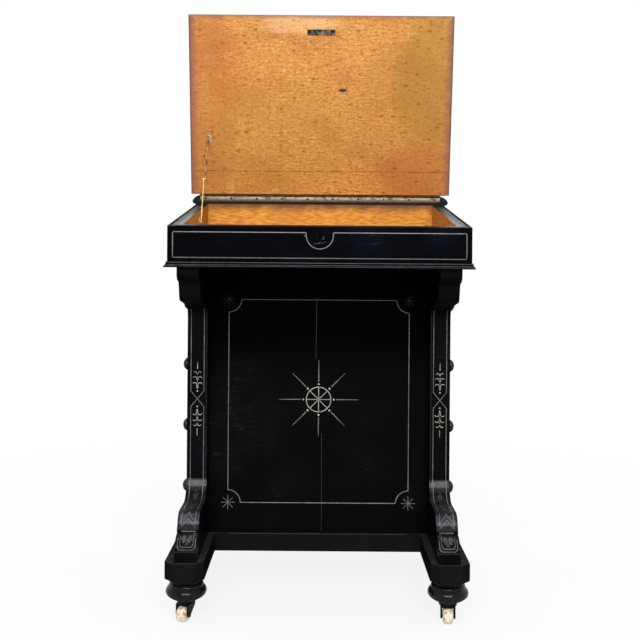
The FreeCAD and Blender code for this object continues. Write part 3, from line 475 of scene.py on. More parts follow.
# %% [markdown]
# ## The inside of the lid
#
# The lid's inner side is a pale, golden board of bird's eye maple: level silky grain, with small
# dark pips scattered over it.  Only that one face is golden, so the recipe first works out where a
# point lies in the lid's own frame, and blackens everything that is not on the inner face.

# %% Places in the lid's own frame
LID_LEAN = math.atan2(64.0, 378.0)
HINGE_Y = (reach("hinge_pin", 0, 1) + reach("hinge_pin", 1, 1)) / 2
POLISH_DEPTH = 12.5
LID_HALF = reach("lid_board", 1, 0)
LID_LENGTH = 394.4


def lid_places(tree):
    """Three outputs: across the lid, out of its writing side, and along it from the hinge."""
    source = node(tree, "ShaderNodeTexCoord", {}).outputs["Object"]
    settings = {"Vector": source, "Location": (0, HINGE_Y * MM, SHELF_TOP * MM),
                "Rotation": (LID_LEAN, 0, 0)}
    turned = node(tree, "ShaderNodeMapping", settings, vector_type="TEXTURE").outputs["Vector"]
    return [coordinate(turned, axis) for axis in "XYZ"]


def flat_place(across, along, scale_across, scale_along):
    """A flat pattern vector over the lid, with its own scale each way."""
    scaled = {"X": times(across, scale_across), "Y": times(along, scale_along)}
    return node(across.id_data, "ShaderNodeCombineXYZ", scaled).outputs["Vector"]


def lid_noise(across, along, scale_across, scale_along, detail, roughness=0.5):
    return noise(flat_place(across, along, scale_across, scale_along), 1.0, detail, roughness)


def spot(across, along, middle, size, ragged):
    """A ragged oval patch over the lid, 1 in its middle and 0 outside; sizes in millimetres."""
    dx, dy = minus(across, middle[0] * MM), minus(along, middle[1] * MM)
    oval = flat_place(dx, dy, 1 / (size[0] * MM), 1 / (size[1] * MM))
    return band(plus(length(oval), times(ragged, 0.9)), 1.35, 0.75)


# %% Golden maple
GOLD = (0.610, 0.275, 0.060)
DEEP_GOLD = (0.300, 0.105, 0.018)
PALE_FLECK = (0.840, 0.500, 0.200)
OLIVE = (0.350, 0.195, 0.030)
RUSSET = (0.430, 0.135, 0.030)
PAINTED_SHEEN = (0.780, 0.490, 0.240)
PIP = (0.175, 0.050, 0.009)
EDGE_STAIN = (0.215, 0.088, 0.066)
KNOT = (0.045, 0.022, 0.018)
KNOT_MIDDLE, KNOT_SIZE = (50, 234), (9, 3.5)
# Each stain: its middle and size in millimetres, its colour and its strength.  The pale patch near the far end is
# a painted sheen, not a stain.
STAINS = (
    ((238, 250), (70, 130), OLIVE, 0.6), ((225, 50), (90, 60), RUSSET, 0.6),
    ((180, 150), (110, 170), DEEP_GOLD, 0.22), ((-250, 190), (55, 230), RUSSET, 0.5),
    ((-45, 376), (78, 20), PAINTED_SHEEN, 0.5), ((-100, 120), (160, 120), OLIVE, 0.22),
)
# Each set of pips: its spacing and its shift in metres, and the share of places that have one.
PIP_SETS = (((0.0075, 0.0045), 0.0, 0.34), ((0.0130, 0.0072), 0.0033, 0.60),
            ((0.0250, 0.0130), 0.0071, 0.46))
SEAM_HEIGHT = 0.056


def maple_colour(across, along):
    """Grain, silky flecks and stained patches of the golden face."""
    grain = lid_noise(across, along, 42, 240, 6.0, 0.7)
    silk = lid_noise(across, along, 130, 200, 4.0, 0.65)
    cloud = lid_noise(across, along, 7, 11, 5.0, 0.6)
    ragged = minus(lid_noise(across, along, 40, 60, 4.0, 0.6), 0.5)
    mixed = plus(times(grain, 0.5), times(silk, 0.5))
    colour = tint(band(mixed, 0.38, 0.54, 0.7, 0.0), GOLD, DEEP_GOLD)
    colour = tint(band(mixed, 0.52, 0.66, 0.0, 0.7), colour, PALE_FLECK)
    colour = tint(band(cloud, 0.44, 0.66, 0.0, 0.55), colour, RUSSET)
    for middle, size, hue, share in STAINS:
        colour = tint(times(spot(across, along, middle, size, ragged), share), colour, hue)
    return colour, ragged, mixed


def pips(across, along, spacing, shift, share):
    """Scattered short dark marks, wider than they are high."""
    vector = flat_place(plus(across, shift), along, 1 / spacing[0], 1 / spacing[1])
    cells = node(vector.id_data, "ShaderNodeTexVoronoi", {"Vector": vector, "Scale": 1.0},
                 voronoi_dimensions="2D")
    picked = node(vector.id_data, "ShaderNodeSeparateColor", {"Color": cells.outputs["Color"]})
    width = band(picked.outputs["Green"], 0.0, 1.0, 0.11, 0.26)
    torn = times(minus(lid_noise(across, along, 420, 700, 2.0), 0.5), 0.18)
    mark = calculate("DIVIDE", plus(cells.outputs["Distance"], torn), width)
    shown = calculate("GREATER_THAN", picked.outputs["Red"], 1 - share)
    depth = band(picked.outputs["Blue"], 0.0, 1.0, 0.22, 0.72)
    return times(times(band(mark, 1.3, 0.2), shown), depth)


# %% The lid board's material
def lid_finish():
    material, tree, shader = recipe("lid_maple_and_black", roughness=0.5, specular=0.12)
    across, out, along = lid_places(tree)
    colour, ragged, grain = maple_colour(across, along)
    for spacing, shift, share in PIP_SETS:
        colour = tint(pips(across, along, spacing, shift, share), colour, PIP)
    knot = spot(across, along, KNOT_MIDDLE, KNOT_SIZE, times(ragged, 2.2))
    colour = tint(knot, colour, KNOT)
    joint = unsigned(minus(along, SEAM_HEIGHT))
    broken = band(ragged, -0.14, 0.04)
    seam = times(band(joint, 0.0015, 0.0005), broken)
    colour = tint(times(seam, 0.8), colour, PIP)

    side = minus(LID_HALF * MM, unsigned(across))
    end = minus(LID_LENGTH * MM, along)
    edge = least(least(side, end), along)
    margin = least(side, times(end, 2.2))
    margin = plus(margin, times(ragged, 0.030))
    stained = band(margin, 0.024, 0.002, 0.0, 0.78)
    colour = tint(stained, colour, EDGE_STAIN)
    colour = tint(band(edge, 0.0030, 0.0006, 0.0, 0.75), colour, RUBBED_BROWN)

    golden = band(out, -POLISH_DEPTH * MM, -(POLISH_DEPTH + 2.5) * MM)
    colour = tint(golden, BLACK, colour)
    soft, nearness = worn_edges(tree, WOOD_EDGE)
    colour = tint(band(nearness, 0.05, 0.5, 0.0, 0.35), colour, RUBBED_BROWN)
    rough = plus(times(golden, 0.2), 0.3)
    feed(shader, Base_Color=colour, Roughness=rough,
         Normal=bump(grain, 0.00012, 0.5, under=soft))
    return material


lid_wood = lid_finish()
print("lid finish nodes:", len(lid_wood.node_tree.nodes))

# %% [markdown]
# ## The wood inside the well
#
# The well and the drawers are lined with plain maple under clear varnish that has gone orange.
# Grain is noise squeezed across the board and stretched along it, and each board gets the
# direction that a joiner would give it.

# %% Lining wood
# Painted shade: the brown of the shelf's shadow on the well's back wall.
WELL_SHADE_BROWN = (0.150, 0.048, 0.014)
WORN_LINING = (0.16, 0.07, 0.025)
LINING_EDGE = 0.0006


def painted_corner_shade(tree, colour):
    """Painted shade in brown along the top of the well's back wall, under the shelf, and in its two upright
    corners.
    """
    under_shelf, corner = reach("well_back", 1, 2), reach("well_back", 1, 0)
    patchy = times(noise(place(tree), 42.0, 4.0), 0.02)
    high = plus(coordinate(place(tree), "Z"), patchy)
    sideways = plus(unsigned(coordinate(place(tree), "X")), patchy)
    above = band(high, (under_shelf - 14) * MM, (under_shelf + 14) * MM)
    beside = band(sideways, (corner - 6) * MM, (corner + 12) * MM, 0.0, 0.7)
    return tint(most(above, beside), colour, WELL_SHADE_BROWN)


def lining_wood(name, stretch, light, dark, black_top=False, black_ends=False, shaded_corners=False):
    """Board with grain along its smallest stretch; edges that show outside may be blackened."""
    material, tree, shader = recipe(name, roughness=0.46, specular=0.12)
    grain = noise(place(tree, stretch), 1.0, 7.0, 0.7)
    fleck = noise(place(tree, [value * 2.4 for value in stretch]), 1.0, 3.0, 0.6)
    cloud = noise(place(tree), 13.0, 4.0)
    colour = tint(band(grain, 0.38, 0.60), dark, light)
    colour = tint(band(fleck, 0.36, 0.24, 0.0, 0.8), colour, PIP)
    colour = tint(band(cloud, 0.45, 0.75, 0.0, 0.5), colour, dark)
    if shaded_corners:
        colour = painted_corner_shade(tree, colour)
    soft, nearness = worn_edges(tree, LINING_EDGE)
    colour = tint(band(nearness, 0.04, 0.4, 0.0, 0.5), colour, WORN_LINING)
    if black_top:
        colour = tint(band(facing(tree, "Z"), 0.5, 0.6), colour, BLACK)
    if black_ends:
        colour = tint(band(unsigned(facing(tree, "X")), 0.5, 0.6), colour, BLACK)
    feed(shader, Base_Color=colour, Normal=bump(grain, 0.0001, 0.5, under=soft))
    return material


# The well's back wall gets painted shade under the shelf and in its corners.
well_wood = lining_wood("well_maple_long_grain", (58, 300, 420),
                        (0.82, 0.370, 0.048), (0.46, 0.172, 0.017), shaded_corners=True)
side_wood = lining_wood("well_maple_side_grain", (90, 44, 260),
                        (0.52, 0.235, 0.042), (0.24, 0.090, 0.015), black_top=True)
PINE = (10, 110, 110), (0.58, 0.345, 0.150), (0.40, 0.205, 0.078)
drawer_wood = lining_wood("drawer_pine", *PINE)
carcase_wood = lining_wood("carcase_pine_black_edge", *PINE, black_ends=True)
print("lining woods:", well_wood.name, side_wood.name, drawer_wood.name, carcase_wood.name)

# %% [markdown]
# ## Metals, leather and casters
#
# Old brass is never one colour: it is bright where hands rub it and brown in the corners.  Two
# sizes of noise give that, one for large stains and one for pitting.

# %% Aged metals
# Painted shade for the lowest strip of the hinge leaf.
LEAF_SHADE_BROWN = (0.070, 0.060, 0.050)
METAL_EDGE = 0.0004


def aged_metal(name, bright, stained, roughness, dark_from, dark_to, shaded_below=None):
    """Stained metal; below a height in millimetres it may be darkened with painted shade."""
    material, tree, shader = recipe(name, roughness=roughness, metallic=1.0)
    stains = noise(place(tree), 85.0, 5.0, 0.6)
    pits = noise(place(tree), 620.0, 3.0, 0.6)
    colour = tint(band(stains, dark_from, dark_to), bright, stained)
    if shaded_below is not None:
        height = coordinate(place(tree), "Z")
        leaf_shade = band(height, shaded_below * MM, (shaded_below - 1.5) * MM, 0.0, 0.9)
        colour = tint(leaf_shade, colour, LEAF_SHADE_BROWN)
    rough = band(pits, 0.3, 0.75, roughness - 0.1, roughness + 0.16)
    soft, _ = worn_edges(tree, METAL_EDGE)
    feed(shader, Base_Color=colour, Roughness=rough,
         Normal=bump(pits, 0.00005, 0.5, under=soft))
    return material


brass = aged_metal("aged_brass", (0.560, 0.410, 0.190), (0.200, 0.125, 0.060), 0.38, 0.38, 0.62)
# The hinge leaf's lowest strip gets painted shade.
leaf_brass = aged_metal("tarnished_hinge_brass", (0.235, 0.183, 0.110), (0.070, 0.050, 0.031),
                        0.46, 0.40, 0.70, shaded_below=reach("hinge_leaf_shelf", 0, 2) + 4.5)
bright_brass = aged_metal("rubbed_stay_brass", (0.620, 0.480, 0.190), (0.340, 0.220, 0.090),
                          0.34, 0.46, 0.70)
# The upper arm of the stay is a darker copy of the brass: painted shade.
shaded_stay_brass = aged_metal("stay_brass_painted_shade", (0.420, 0.250, 0.110), (0.110, 0.055, 0.026),
                         0.42, 0.36, 0.60)
dark_brass = aged_metal("blackened_brass", (0.014, 0.013, 0.012), (0.005, 0.005, 0.005),
                        0.46, 0.38, 0.62)
black_brass = aged_metal("sooty_brass", (0.0050, 0.0048, 0.0046), (0.0020, 0.0020, 0.0021),
                         0.50, 0.38, 0.62)
bronze = aged_metal("bronzed_plate", (0.078, 0.058, 0.038), (0.011, 0.009, 0.008), 0.44, 0.38, 0.56)
steel = aged_metal("dull_steel", (0.400, 0.390, 0.370), (0.140, 0.125, 0.110), 0.42, 0.45, 0.70)


# %% Wheel porcelain and leather
def wheel_glaze():
    material, tree, shader = recipe("worn_caster_porcelain", roughness=0.36, specular=0.4)
    dirt = noise(place(tree), 150.0, 5.0, 0.65)
    rings = noise(place(tree), 340.0, 2.0)
    colour = tint(band(dirt, 0.46, 0.66), (0.900, 0.770, 0.580), (0.300, 0.170, 0.080))
    colour = tint(band(rings, 0.62, 0.78, 0.0, 0.5), colour, (0.120, 0.070, 0.040))
    feed(shader, Base_Color=colour, Normal=bump(dirt, 0.0002, 0.4))
    return material


def skin(name, colour, dark):
    material, tree, shader = recipe(name, roughness=0.52, specular=0.35)
    pores = node(tree, "ShaderNodeTexVoronoi", {"Vector": place(tree), "Scale": 900.0},
                 feature="SMOOTH_F1").outputs["Distance"]
    wear = noise(place(tree), 14.0, 5.0, 0.6)
    shade = tint(band(wear, 0.42, 0.70), colour, dark)
    feed(shader, Base_Color=shade, Normal=bump(pores, 0.00012, 0.6))
    return material


porcelain = wheel_glaze()
leather = skin("writing_leather", (0.052, 0.012, 0.009), (0.020, 0.006, 0.005))
print("metals and skins ready")

# %% [markdown]
# ## Giving the solid pieces their finishes
#
# The record names a material slot for every piece, so one small table covers most of the desk.
# A second table names the few pieces whose real finish differs from the rest of their slot.

# %% Assign materials to the solid pieces
FINISHES = {
    "ebonised": ebonised_level, "lid_wood": lid_wood, "pale_wood": well_wood,
    "leather": leather, "brass": brass, "dark_brass": dark_brass, "steel": steel,
    "porcelain": porcelain,
}
DRAWERS = range(1, 5)
DEPTH_GRAIN = ["side_panel_left", "false_fronts"]
DEPTH_GRAIN += [f"drawer_{number}_front" for number in DRAWERS]
KNOBS = ["false_knobs"] + [f"drawer_{number}_knobs" for number in DRAWERS]
OWN_FINISH = {
    "hinge_leaf_shelf": leaf_brass, "hinge_leaf_lid": leaf_brass, "hinge_screws": black_brass,
    "link_plate": bronze, "stay_lower_arm": bright_brass, "stay_upper_arm": shaded_stay_brass,
    "escutcheon": black_brass, "lock_case": black_brass,
    "well_lining": side_wood, "base_board": carcase_wood, "top_board": carcase_wood,
    "base_moulding": ebonised_moulded, "rear_shelf": ebonised_shelf,
    "runner_left": ebonised_matt, "runner_right": ebonised_matt, "apron_front": ebonised_matt,
    "box_front": ebonised_bloomed, "pedestal_front": ebonised_panel,
    "pedestal_back": ebonised_back, "box_side_left": ebonised_rim, "box_side_right": ebonised_rim,
    "support_left": ebonised_scroll, "support_right": ebonised_scroll,
    **{name: ebonised_depth for name in DEPTH_GRAIN},
    **{name: ebonised_turned for name in KNOBS},
    **{f"drawer_{number}_box": drawer_wood for number in DRAWERS},
}

for part in frame["record"]["subparts"]:
    name = part["node"]
    finish_material = OWN_FINISH.get(name, FINISHES[part["material_slot"]])
    piece = nodes[name]
    if not piece.material_slots:
        piece.data.materials.append(finish_material)
    for material_slot in piece.material_slots:
        material_slot.material = finish_material

# %% [markdown]
# ## Finishes of the lines
#
# Two kinds of line decorate the black.  Stringing is a thin strip of pale wood let into a groove.
# Incised lines are cut with a gouge and filled with colour, so they are duller and rougher.

# %% Stringing and incised lines
# Lines darken between the heights given to each finish.
DARKENED_LINE = (0.010, 0.010, 0.010)


def line_finish(name, pale, dull, roughness, darkened=(), specular=0.3):
    """A pale filling with dull stretches; sooted holds (from height, to height, share) in mm."""
    material, tree, shader = recipe(name, roughness=roughness, specular=specular)
    fade = noise(place(tree), 60.0, 5.0, 0.65)
    ends = noise(place(tree), 420.0, 2.0)
    colour = tint(band(fade, 0.38, 0.68), pale, dull)
    for darkening in darkening_shares(tree, darkened):
        colour = tint(darkening, colour, DARKENED_LINE)
    feed(shader, Base_Color=colour, Normal=bump(ends, 0.00004, 0.4))
    return material


# The box front's line darkens towards the box's bottom edge.
stringing = line_finish("pale_stringing", (0.205, 0.178, 0.160), (0.120, 0.102, 0.088), 0.45,
                        darkened=((BOX_BOTTOM + 60, BOX_BOTTOM + 20, 0.5),))
# The lines of the panel and the columns darken towards the top: painted shadow of the box above them.
panel_string = line_finish("panel_stringing_wood", (0.250, 0.218, 0.196), (0.150, 0.128, 0.110),
                           0.45, darkened=((195, 290, 0.45), (500, 596, 0.75)))
column_cut = line_finish("column_incised_line", (0.150, 0.133, 0.113), (0.080, 0.068, 0.056), 0.55,
                         darkened=((520, 590, 0.75),))
incised = line_finish("incised_line", (0.240, 0.212, 0.180), (0.120, 0.102, 0.084), 0.55)
bright_cut = line_finish("bright_incised_line", (0.420, 0.385, 0.340), (0.230, 0.205, 0.175), 0.45)
carved = line_finish("carved_edge_highlight", (0.150, 0.148, 0.158), (0.050, 0.050, 0.054), 0.4)
dim_cut = line_finish("dim_incised_line", (0.100, 0.098, 0.106), (0.042, 0.041, 0.045), 0.5)
# The glint finish is a painted highlight.
glint = line_finish("moulding_glint", (0.046, 0.042, 0.045), (0.004, 0.004, 0.005), 0.4)
faint_cut = line_finish("faint_incised_line", (0.030, 0.028, 0.027), (0.008, 0.008, 0.008), 0.6,
                        darkened=((500, 560, 0.5),), specular=0.06)
dip_line = line_finish("keyhole_stringing", (0.145, 0.150, 0.160), (0.085, 0.090, 0.098), 0.45)
crack = line_finish("dry_crack", (0.040, 0.036, 0.034), (0.008, 0.008, 0.008), 0.7)
print("line finishes ready")

# %% [markdown]
# ## Drawing tools for flat ornament
#
# All the ornament is drawn as a flat ribbon in front of its face, then pressed back onto the wood.
# A straight ribbon starts as a plane.  A curved one starts as one edge of a plane, which the spin
# tool sweeps round a centre.  Shrinkwrap presses the ribbon onto the face whatever its shape, and
# solidify gives it a thin body, so that it is a real strip and not a picture.

# %% Ribbons, bows and dots
DRAWING_PLANE = BOX_FACE - 20
STRIP_PROUD = 0.12
STRIP_THICKNESS = 0.4


def ribbon(start, end, width, cuts=0, taper=1.0):
    """A flat strip between two points (x, z) of the drawing plane; its end may taper."""
    (x0, z0), (x1, z1) = start, end
    middle = ((x0 + x1) / 2 * MM, DRAWING_PLANE * MM, (z0 + z1) / 2 * MM)
    piece = block(bpy.ops.mesh.primitive_plane_add, middle, (math.dist(start, end), width, 1),
                  rotation=(math.pi / 2, -math.atan2(z1 - z0, x1 - x0), 0))
    if taper != 1.0:
        edit(piece, "VERT",
             lambda corners: math.dist((corners[0].x, corners[0].z), end) < width,
             bpy.ops.transform.resize, value=(taper, taper, taper),
             center_override=Vector((x1, DRAWING_PLANE, z1)) * MM)
    if cuts:
        edit(piece, "FACE", everything, bpy.ops.mesh.subdivide, number_cuts=cuts)
    return piece


def bow(centre, radius, start, sweep, width, steps=10):
    """A flat arc about a centre (x, z); angles in degrees, positive ones anticlockwise."""
    first = ((centre[0] + radius) * MM, DRAWING_PLANE * MM, centre[1] * MM)
    piece = block(bpy.ops.mesh.primitive_plane_add, first, (width, 1, 1),
                  rotation=(math.pi / 2, 0, 0))
    choose(piece, "VERT", lambda corners: corners[0].z > centre[1])
    bpy.ops.mesh.delete(type="VERT")
    middle = Vector((centre[0], DRAWING_PLANE, centre[1])) * MM
    bpy.ops.mesh.select_all(action="SELECT")
    if start:
        bpy.ops.transform.rotate(value=math.radians(start), orient_axis="Y", center_override=middle)
    bpy.ops.mesh.spin(steps=steps, angle=math.radians(sweep), center=middle, axis=(0, 1, 0))
    leave_edit()
    return piece


def dot(centre, radius):
    """A small flat disc with a ring of faces round its middle."""
    piece = disc(radius, 12, (centre[0] * MM, DRAWING_PLANE * MM, centre[1] * MM),
                 rotation=(math.pi / 2, 0, 0))
    edit(piece, "FACE", everything, bpy.ops.mesh.inset, thickness=radius * 0.4 * MM)
    return piece


# %% Pressing ornament onto the wood
def face_front(piece):
    """Turn every face of a flat drawing towards the sitter."""
    only(piece)
    for polygon in piece.data.polygons:
        polygon.select = polygon.normal.y > 0
    backward = sum(polygon.select for polygon in piece.data.polygons)
    if backward:
        bpy.ops.object.mode_set(mode="EDIT")
        bpy.ops.mesh.select_mode(type="FACE")
        bpy.ops.mesh.flip_normals()
        leave_edit()


def press(pieces, onto, proud=STRIP_PROUD, down=None):
    """Join flat pieces, lay them on a face and give them thickness.

    Ornament for a level surface is drawn upright too, with y in place of z; `down` is the
    height from which it is then laid flat and pressed downward.
    """
    piece = merge(pieces)
    face_front(piece)
    level = down is not None
    if level:
        piece.rotation_euler = (-math.pi / 2, 0, 0)
        piece.location = (0, 0, (down + DRAWING_PLANE) * MM)
        settle(piece)
    use(piece, "SHRINKWRAP", wrap_method="PROJECT", use_project_y=not level, use_project_z=level,
        use_positive_direction=not level, use_negative_direction=level, target=onto, offset=0)
    axis, plane = (2, down) if level else (1, DRAWING_PLANE)
    missed = sum(abs(vertex.co[axis] / MM - plane) < 0.01 for vertex in piece.data.vertices)
    print("points that missed the wood:", missed)
    return use(piece, "SOLIDIFY", thickness=STRIP_THICKNESS * MM,
               offset=2 * proud / STRIP_THICKNESS - 1)


def inlay(name, pieces, material, board, proud=STRIP_PROUD):
    """Press ornament onto one board and finish it."""
    finish(press(pieces, nodes[board], proud), name, material)


def both_sides(name, pieces, material, down=None):
    """Press ornament drawn for the left support onto it, and its mirror image onto the right."""
    left = merge(pieces)
    right = duplicate(left)
    edit(right, "VERT", everything, bpy.ops.transform.mirror,
         constraint_axis=(True, False, False), center_override=(0, 0, 0))
    for side, flat in (("left", left), ("right", right)):
        pressed = press([flat], nodes[f"support_{side}"], down=down)
        finish(pressed, f"{name}_{side}", material)


def open_line(points, width):
    """Ribbons along a row of corner points, each run on by nearly half its width at the corner."""
    pieces = []
    for start, end in zip(points, points[1:]):
        along = (Vector(end) - Vector(start)).normalized() * width * 0.49
        pieces.append(ribbon(Vector(start) - along, Vector(end) + along, width))
    return pieces


# %% [markdown]
# ## Stringing of the box front
#
# A single line frames the front of the box.  Round the keyhole it dips in a deep U, so that the
# key never scratches it.  Straight stretches are ribbons and the U is half a turn of a bow.

# %% Box front stringing
STRING_WIDTH = 1.5
FRONT_LINE_X = BOX_SIDE - 10
FRONT_LINE_LOW = BOX_BOTTOM + 18.5
FRONT_LINE_HIGH = BOX_BOTTOM + 65.5
DIP_RADIUS = 24.9
DIP_CENTRE = FRONT_LINE_HIGH - 5

low_left, low_right = (-FRONT_LINE_X, FRONT_LINE_LOW), (FRONT_LINE_X, FRONT_LINE_LOW)
high_left, high_right = (-FRONT_LINE_X, FRONT_LINE_HIGH), (FRONT_LINE_X, FRONT_LINE_HIGH)
front_lines = open_line([(-DIP_RADIUS, FRONT_LINE_HIGH), high_left, low_left, low_right,
                         high_right, (DIP_RADIUS, FRONT_LINE_HIGH)], STRING_WIDTH)
inlay("box_front_stringing", front_lines, stringing, "box_front")

dip = [ribbon((DIP_RADIUS * side, FRONT_LINE_HIGH + STRING_WIDTH / 2),
              (DIP_RADIUS * side, DIP_CENTRE), STRING_WIDTH) for side in (-1, 1)]
dip.append(bow((0, DIP_CENTRE), DIP_RADIUS, 180, 180, STRING_WIDTH, steps=28))
dip.append(ribbon((-29, FRONT_LINE_HIGH - 6), (-24, FRONT_LINE_HIGH - 5), 1.2))
inlay("keyhole_dip", dip, dip_line, "box_front")

# %% [markdown]
# ## Painted glints and key marks
#
# Painted highlights stand for the light that the small steps of the moulding and the top of the
# apron catch.  Each glint is a faint, very flat ribbon that ends where the step ends, because a point
# pressed past the moulding would find no wood.

# %% Painted glints along the small steps of the base moulding
GLINT_PROUD = 0.06
# Each glint: its height above the box's bottom, its width and how far it runs past the box's side.
GLINTS = ((2.7, 0.7, 4.0), (5.2, 0.9, 2.2), (9.6, 0.7, 1.0))
glints = [ribbon((-BOX_SIDE - out, BOX_BOTTOM + rise), (BOX_SIDE + out, BOX_BOTTOM + rise), width)
          for rise, width, out in GLINTS]
inlay("moulding_glints", glints, glint, "base_moulding", GLINT_PROUD)

# %% A painted highlight along the top of the front apron
APRON_LINE = reach("apron_front", 1, 2) - 0.9
APRON_END = reach("apron_front", 1, 0) - 28
apron_glint = [ribbon((-APRON_END, APRON_LINE), (APRON_END, APRON_LINE), 0.9)]
inlay("apron_top_glint", apron_glint, glint, "apron_front", GLINT_PROUD)

# %% Marks of the key below the keyhole
KEYHOLE_Z = BOX_BOTTOM + 57.2
MARK_PROUD = 0.05
key_marks = [ribbon((0, KEYHOLE_Z - 12), (0.5, KEYHOLE_Z - 7.5), 1.3, taper=0.3),
             ribbon((-1, KEYHOLE_Z - 11.5), (-12, KEYHOLE_Z - 12.5), 0.9, taper=0.2),
             ribbon((2, KEYHOLE_Z - 11), (12, KEYHOLE_Z - 8.5), 0.7, taper=0.2),
             bow((3.8, KEYHOLE_Z - 1), 3.6, -70, 170, 0.7)]
inlay("key_scratches", key_marks, dim_cut, "box_front", MARK_PROUD)

# %% [markdown]
# ## Stringing and wheel of the pedestal front
#
# The large panel under the box has a line with scooped corners.  A small star sits in each scoop,
# and a spoked wheel with eight long rays marks the middle of the panel.

# %% Panel line with scooped corners
PANEL_LINE_X = 184.7
PANEL_LINE_LOW = PANEL_BOTTOM + 61.5
PANEL_LINE_HIGH = PANEL_TOP - 66.5
SCOOP = 25.7

panel_lines = []
for side in (-1, 1):
    x = PANEL_LINE_X * side
    panel_lines.append(ribbon((x, PANEL_LINE_LOW + SCOOP), (x, PANEL_LINE_HIGH - SCOOP),
                              STRING_WIDTH))
for z in (PANEL_LINE_LOW, PANEL_LINE_HIGH):
    panel_lines.append(ribbon((SCOOP - PANEL_LINE_X, z), (PANEL_LINE_X - SCOOP, z), STRING_WIDTH))
for x, z, start in ((-1, 0, 0), (1, 0, 90), (1, 1, 180), (-1, 1, 270)):
    centre = (PANEL_LINE_X * x, PANEL_LINE_HIGH if z else PANEL_LINE_LOW)
    panel_lines.append(bow(centre, SCOOP, start, 90, STRING_WIDTH))
inlay("panel_stringing", panel_lines, panel_string, "pedestal_front")

# %% Stars in the scooped corners
RAY_COUNT = 8
STAR_INNER, STAR_OUTER = 1.5, 14.3


def around(centre, number, radius):
    """The point on one of eight rays round a centre, at a distance from it."""
    angle = 2 * math.pi * number / RAY_COUNT
    return (centre[0] + math.cos(angle) * radius, centre[1] + math.sin(angle) * radius)


def corner_stars(z, ray_width, heart):
    """Eight-rayed stars at both ends of one level of the panel."""
    made = []
    for x in (-PANEL_LINE_X, PANEL_LINE_X):
        made += [ribbon(around((x, z), number, STAR_INNER), around((x, z), number, STAR_OUTER),
                        ray_width) for number in range(RAY_COUNT)]
        made.append(dot((x, z), heart))
    return made


inlay("lower_stars", corner_stars(PANEL_LINE_LOW, 1.05, 1.8), incised, "pedestal_front")
# The upper stars take the faint finish: painted shade of the box over them.
inlay("upper_stars", corner_stars(PANEL_LINE_HIGH, 0.9, 2.2), faint_cut, "pedestal_front")

# %% Wheel in the middle of the panel
WHEEL_CENTRE = (0, (PANEL_LINE_LOW + PANEL_LINE_HIGH) / 2 + 4)
WHEEL_RADIUS = 25.3
PEARL_RADIUS = 31.5
RAY_START = 36.5
RAY_ENDS = [82, 76, 81, 76, 82, 76, 75, 76]

wheel = [bow(WHEEL_CENTRE, WHEEL_RADIUS, 0, 360, 1.7, steps=48), dot(WHEEL_CENTRE, 3.2)]
outer_rays = []
for number, ray_end in enumerate(RAY_ENDS):
    hub, rim, pearl, foot, tip = [
        around(WHEEL_CENTRE, number, radius)
        for radius in (1, WHEEL_RADIUS, PEARL_RADIUS, RAY_START, ray_end)]
    wheel += [ribbon(hub, rim, 1.3), dot(pearl, 2.0)]
    outer_rays.append(ribbon(foot, tip, 1.6, taper=0.35))
inlay("panel_wheel", wheel, bright_cut, "pedestal_front")
inlay("panel_rays", outer_rays, incised, "pedestal_front")

# %% [markdown]
# ## Lines and hooks of the columns
#
# Two incised lines run down each column and cross in its middle.  Above and below the crossing
# stand three pairs of small hooks, like opening leaves, with a dot and a short stroke.  Half of
# that spray is drawn once, mirrored for the lower half, and the whole is copied to the other side.

# %% Column lines
LINE_OUT = COLUMN_OUTSIDE + 7.2
LINE_IN = COLUMN_INSIDE - 7.0
COLUMN_MIDDLE = (LINE_OUT + LINE_IN) / 2
CROSSING = 399.5
CROSS_HALF = 15.7
LINES_TOP = BOX_BOTTOM - 84
SCROLL_TOP = 200.5
LINES_BOTTOM = 180.0
FACET_TOP = 240.0
CUT_WIDTH = 1.3

column_lines, cove_lines = [], []
for x, other in ((LINE_OUT, LINE_IN), (LINE_IN, LINE_OUT)):
    column_lines.append(ribbon((x, LINES_TOP), (x, CROSSING + CROSS_HALF), CUT_WIDTH, cuts=48))
    column_lines.append(ribbon((x, CROSSING + CROSS_HALF), (other, CROSSING - CROSS_HALF),
                               CUT_WIDTH))
    column_lines.append(ribbon((x, CROSSING - CROSS_HALF), (x, FACET_TOP), CUT_WIDTH, cuts=60))
    cove_lines.append(ribbon((x, FACET_TOP), (x, SCROLL_TOP + 1), CUT_WIDTH, cuts=36))
    cove_lines.append(ribbon((x, SCROLL_TOP - 0.5), (x, LINES_BOTTOM), CUT_WIDTH, cuts=12))


# %% One spray of hooks
def hook(side, foot, spring, radius):
    """A stem beside the middle line that turns outward in a small arch."""
    x = COLUMN_MIDDLE + 1.3 * side
    centre = (x + radius * side, CROSSING + spring)
    start, sweep = (180, -150) if side > 0 else (0, 150)
    foot_x = COLUMN_MIDDLE + 0.6 * side
    return [bow(centre, radius, start, sweep, 1.1, steps=8),
            ribbon((foot_x, CROSSING + foot), (x, CROSSING + spring), 1.0)]


spray = [dot((COLUMN_MIDDLE, CROSSING + 15.5), 1.6), dot((COLUMN_MIDDLE, CROSSING + 33.5), 0.8),
         dot((COLUMN_MIDDLE, CROSSING + 45), 0.8),
         ribbon((COLUMN_MIDDLE, CROSSING + 60), (COLUMN_MIDDLE, CROSSING + 74), 1.3, taper=0.5)]
# Each pair of hooks: the height of its foot and of its arch above the crossing, and its radius.
HOOKS = ((20.5, 28, 4.3), (36.8, 40, 4.1), (49.4, 51, 3.2))
for side in (-1, 1):
    for foot, spring, radius in HOOKS:
        spray += hook(side, foot, spring, radius)
upper_spray = merge(spray)
lower_spray = duplicate(upper_spray)
edit(lower_spray, "VERT", everything, bpy.ops.transform.mirror,
     constraint_axis=(False, False, True), center_override=(0, 0, CROSSING * MM))

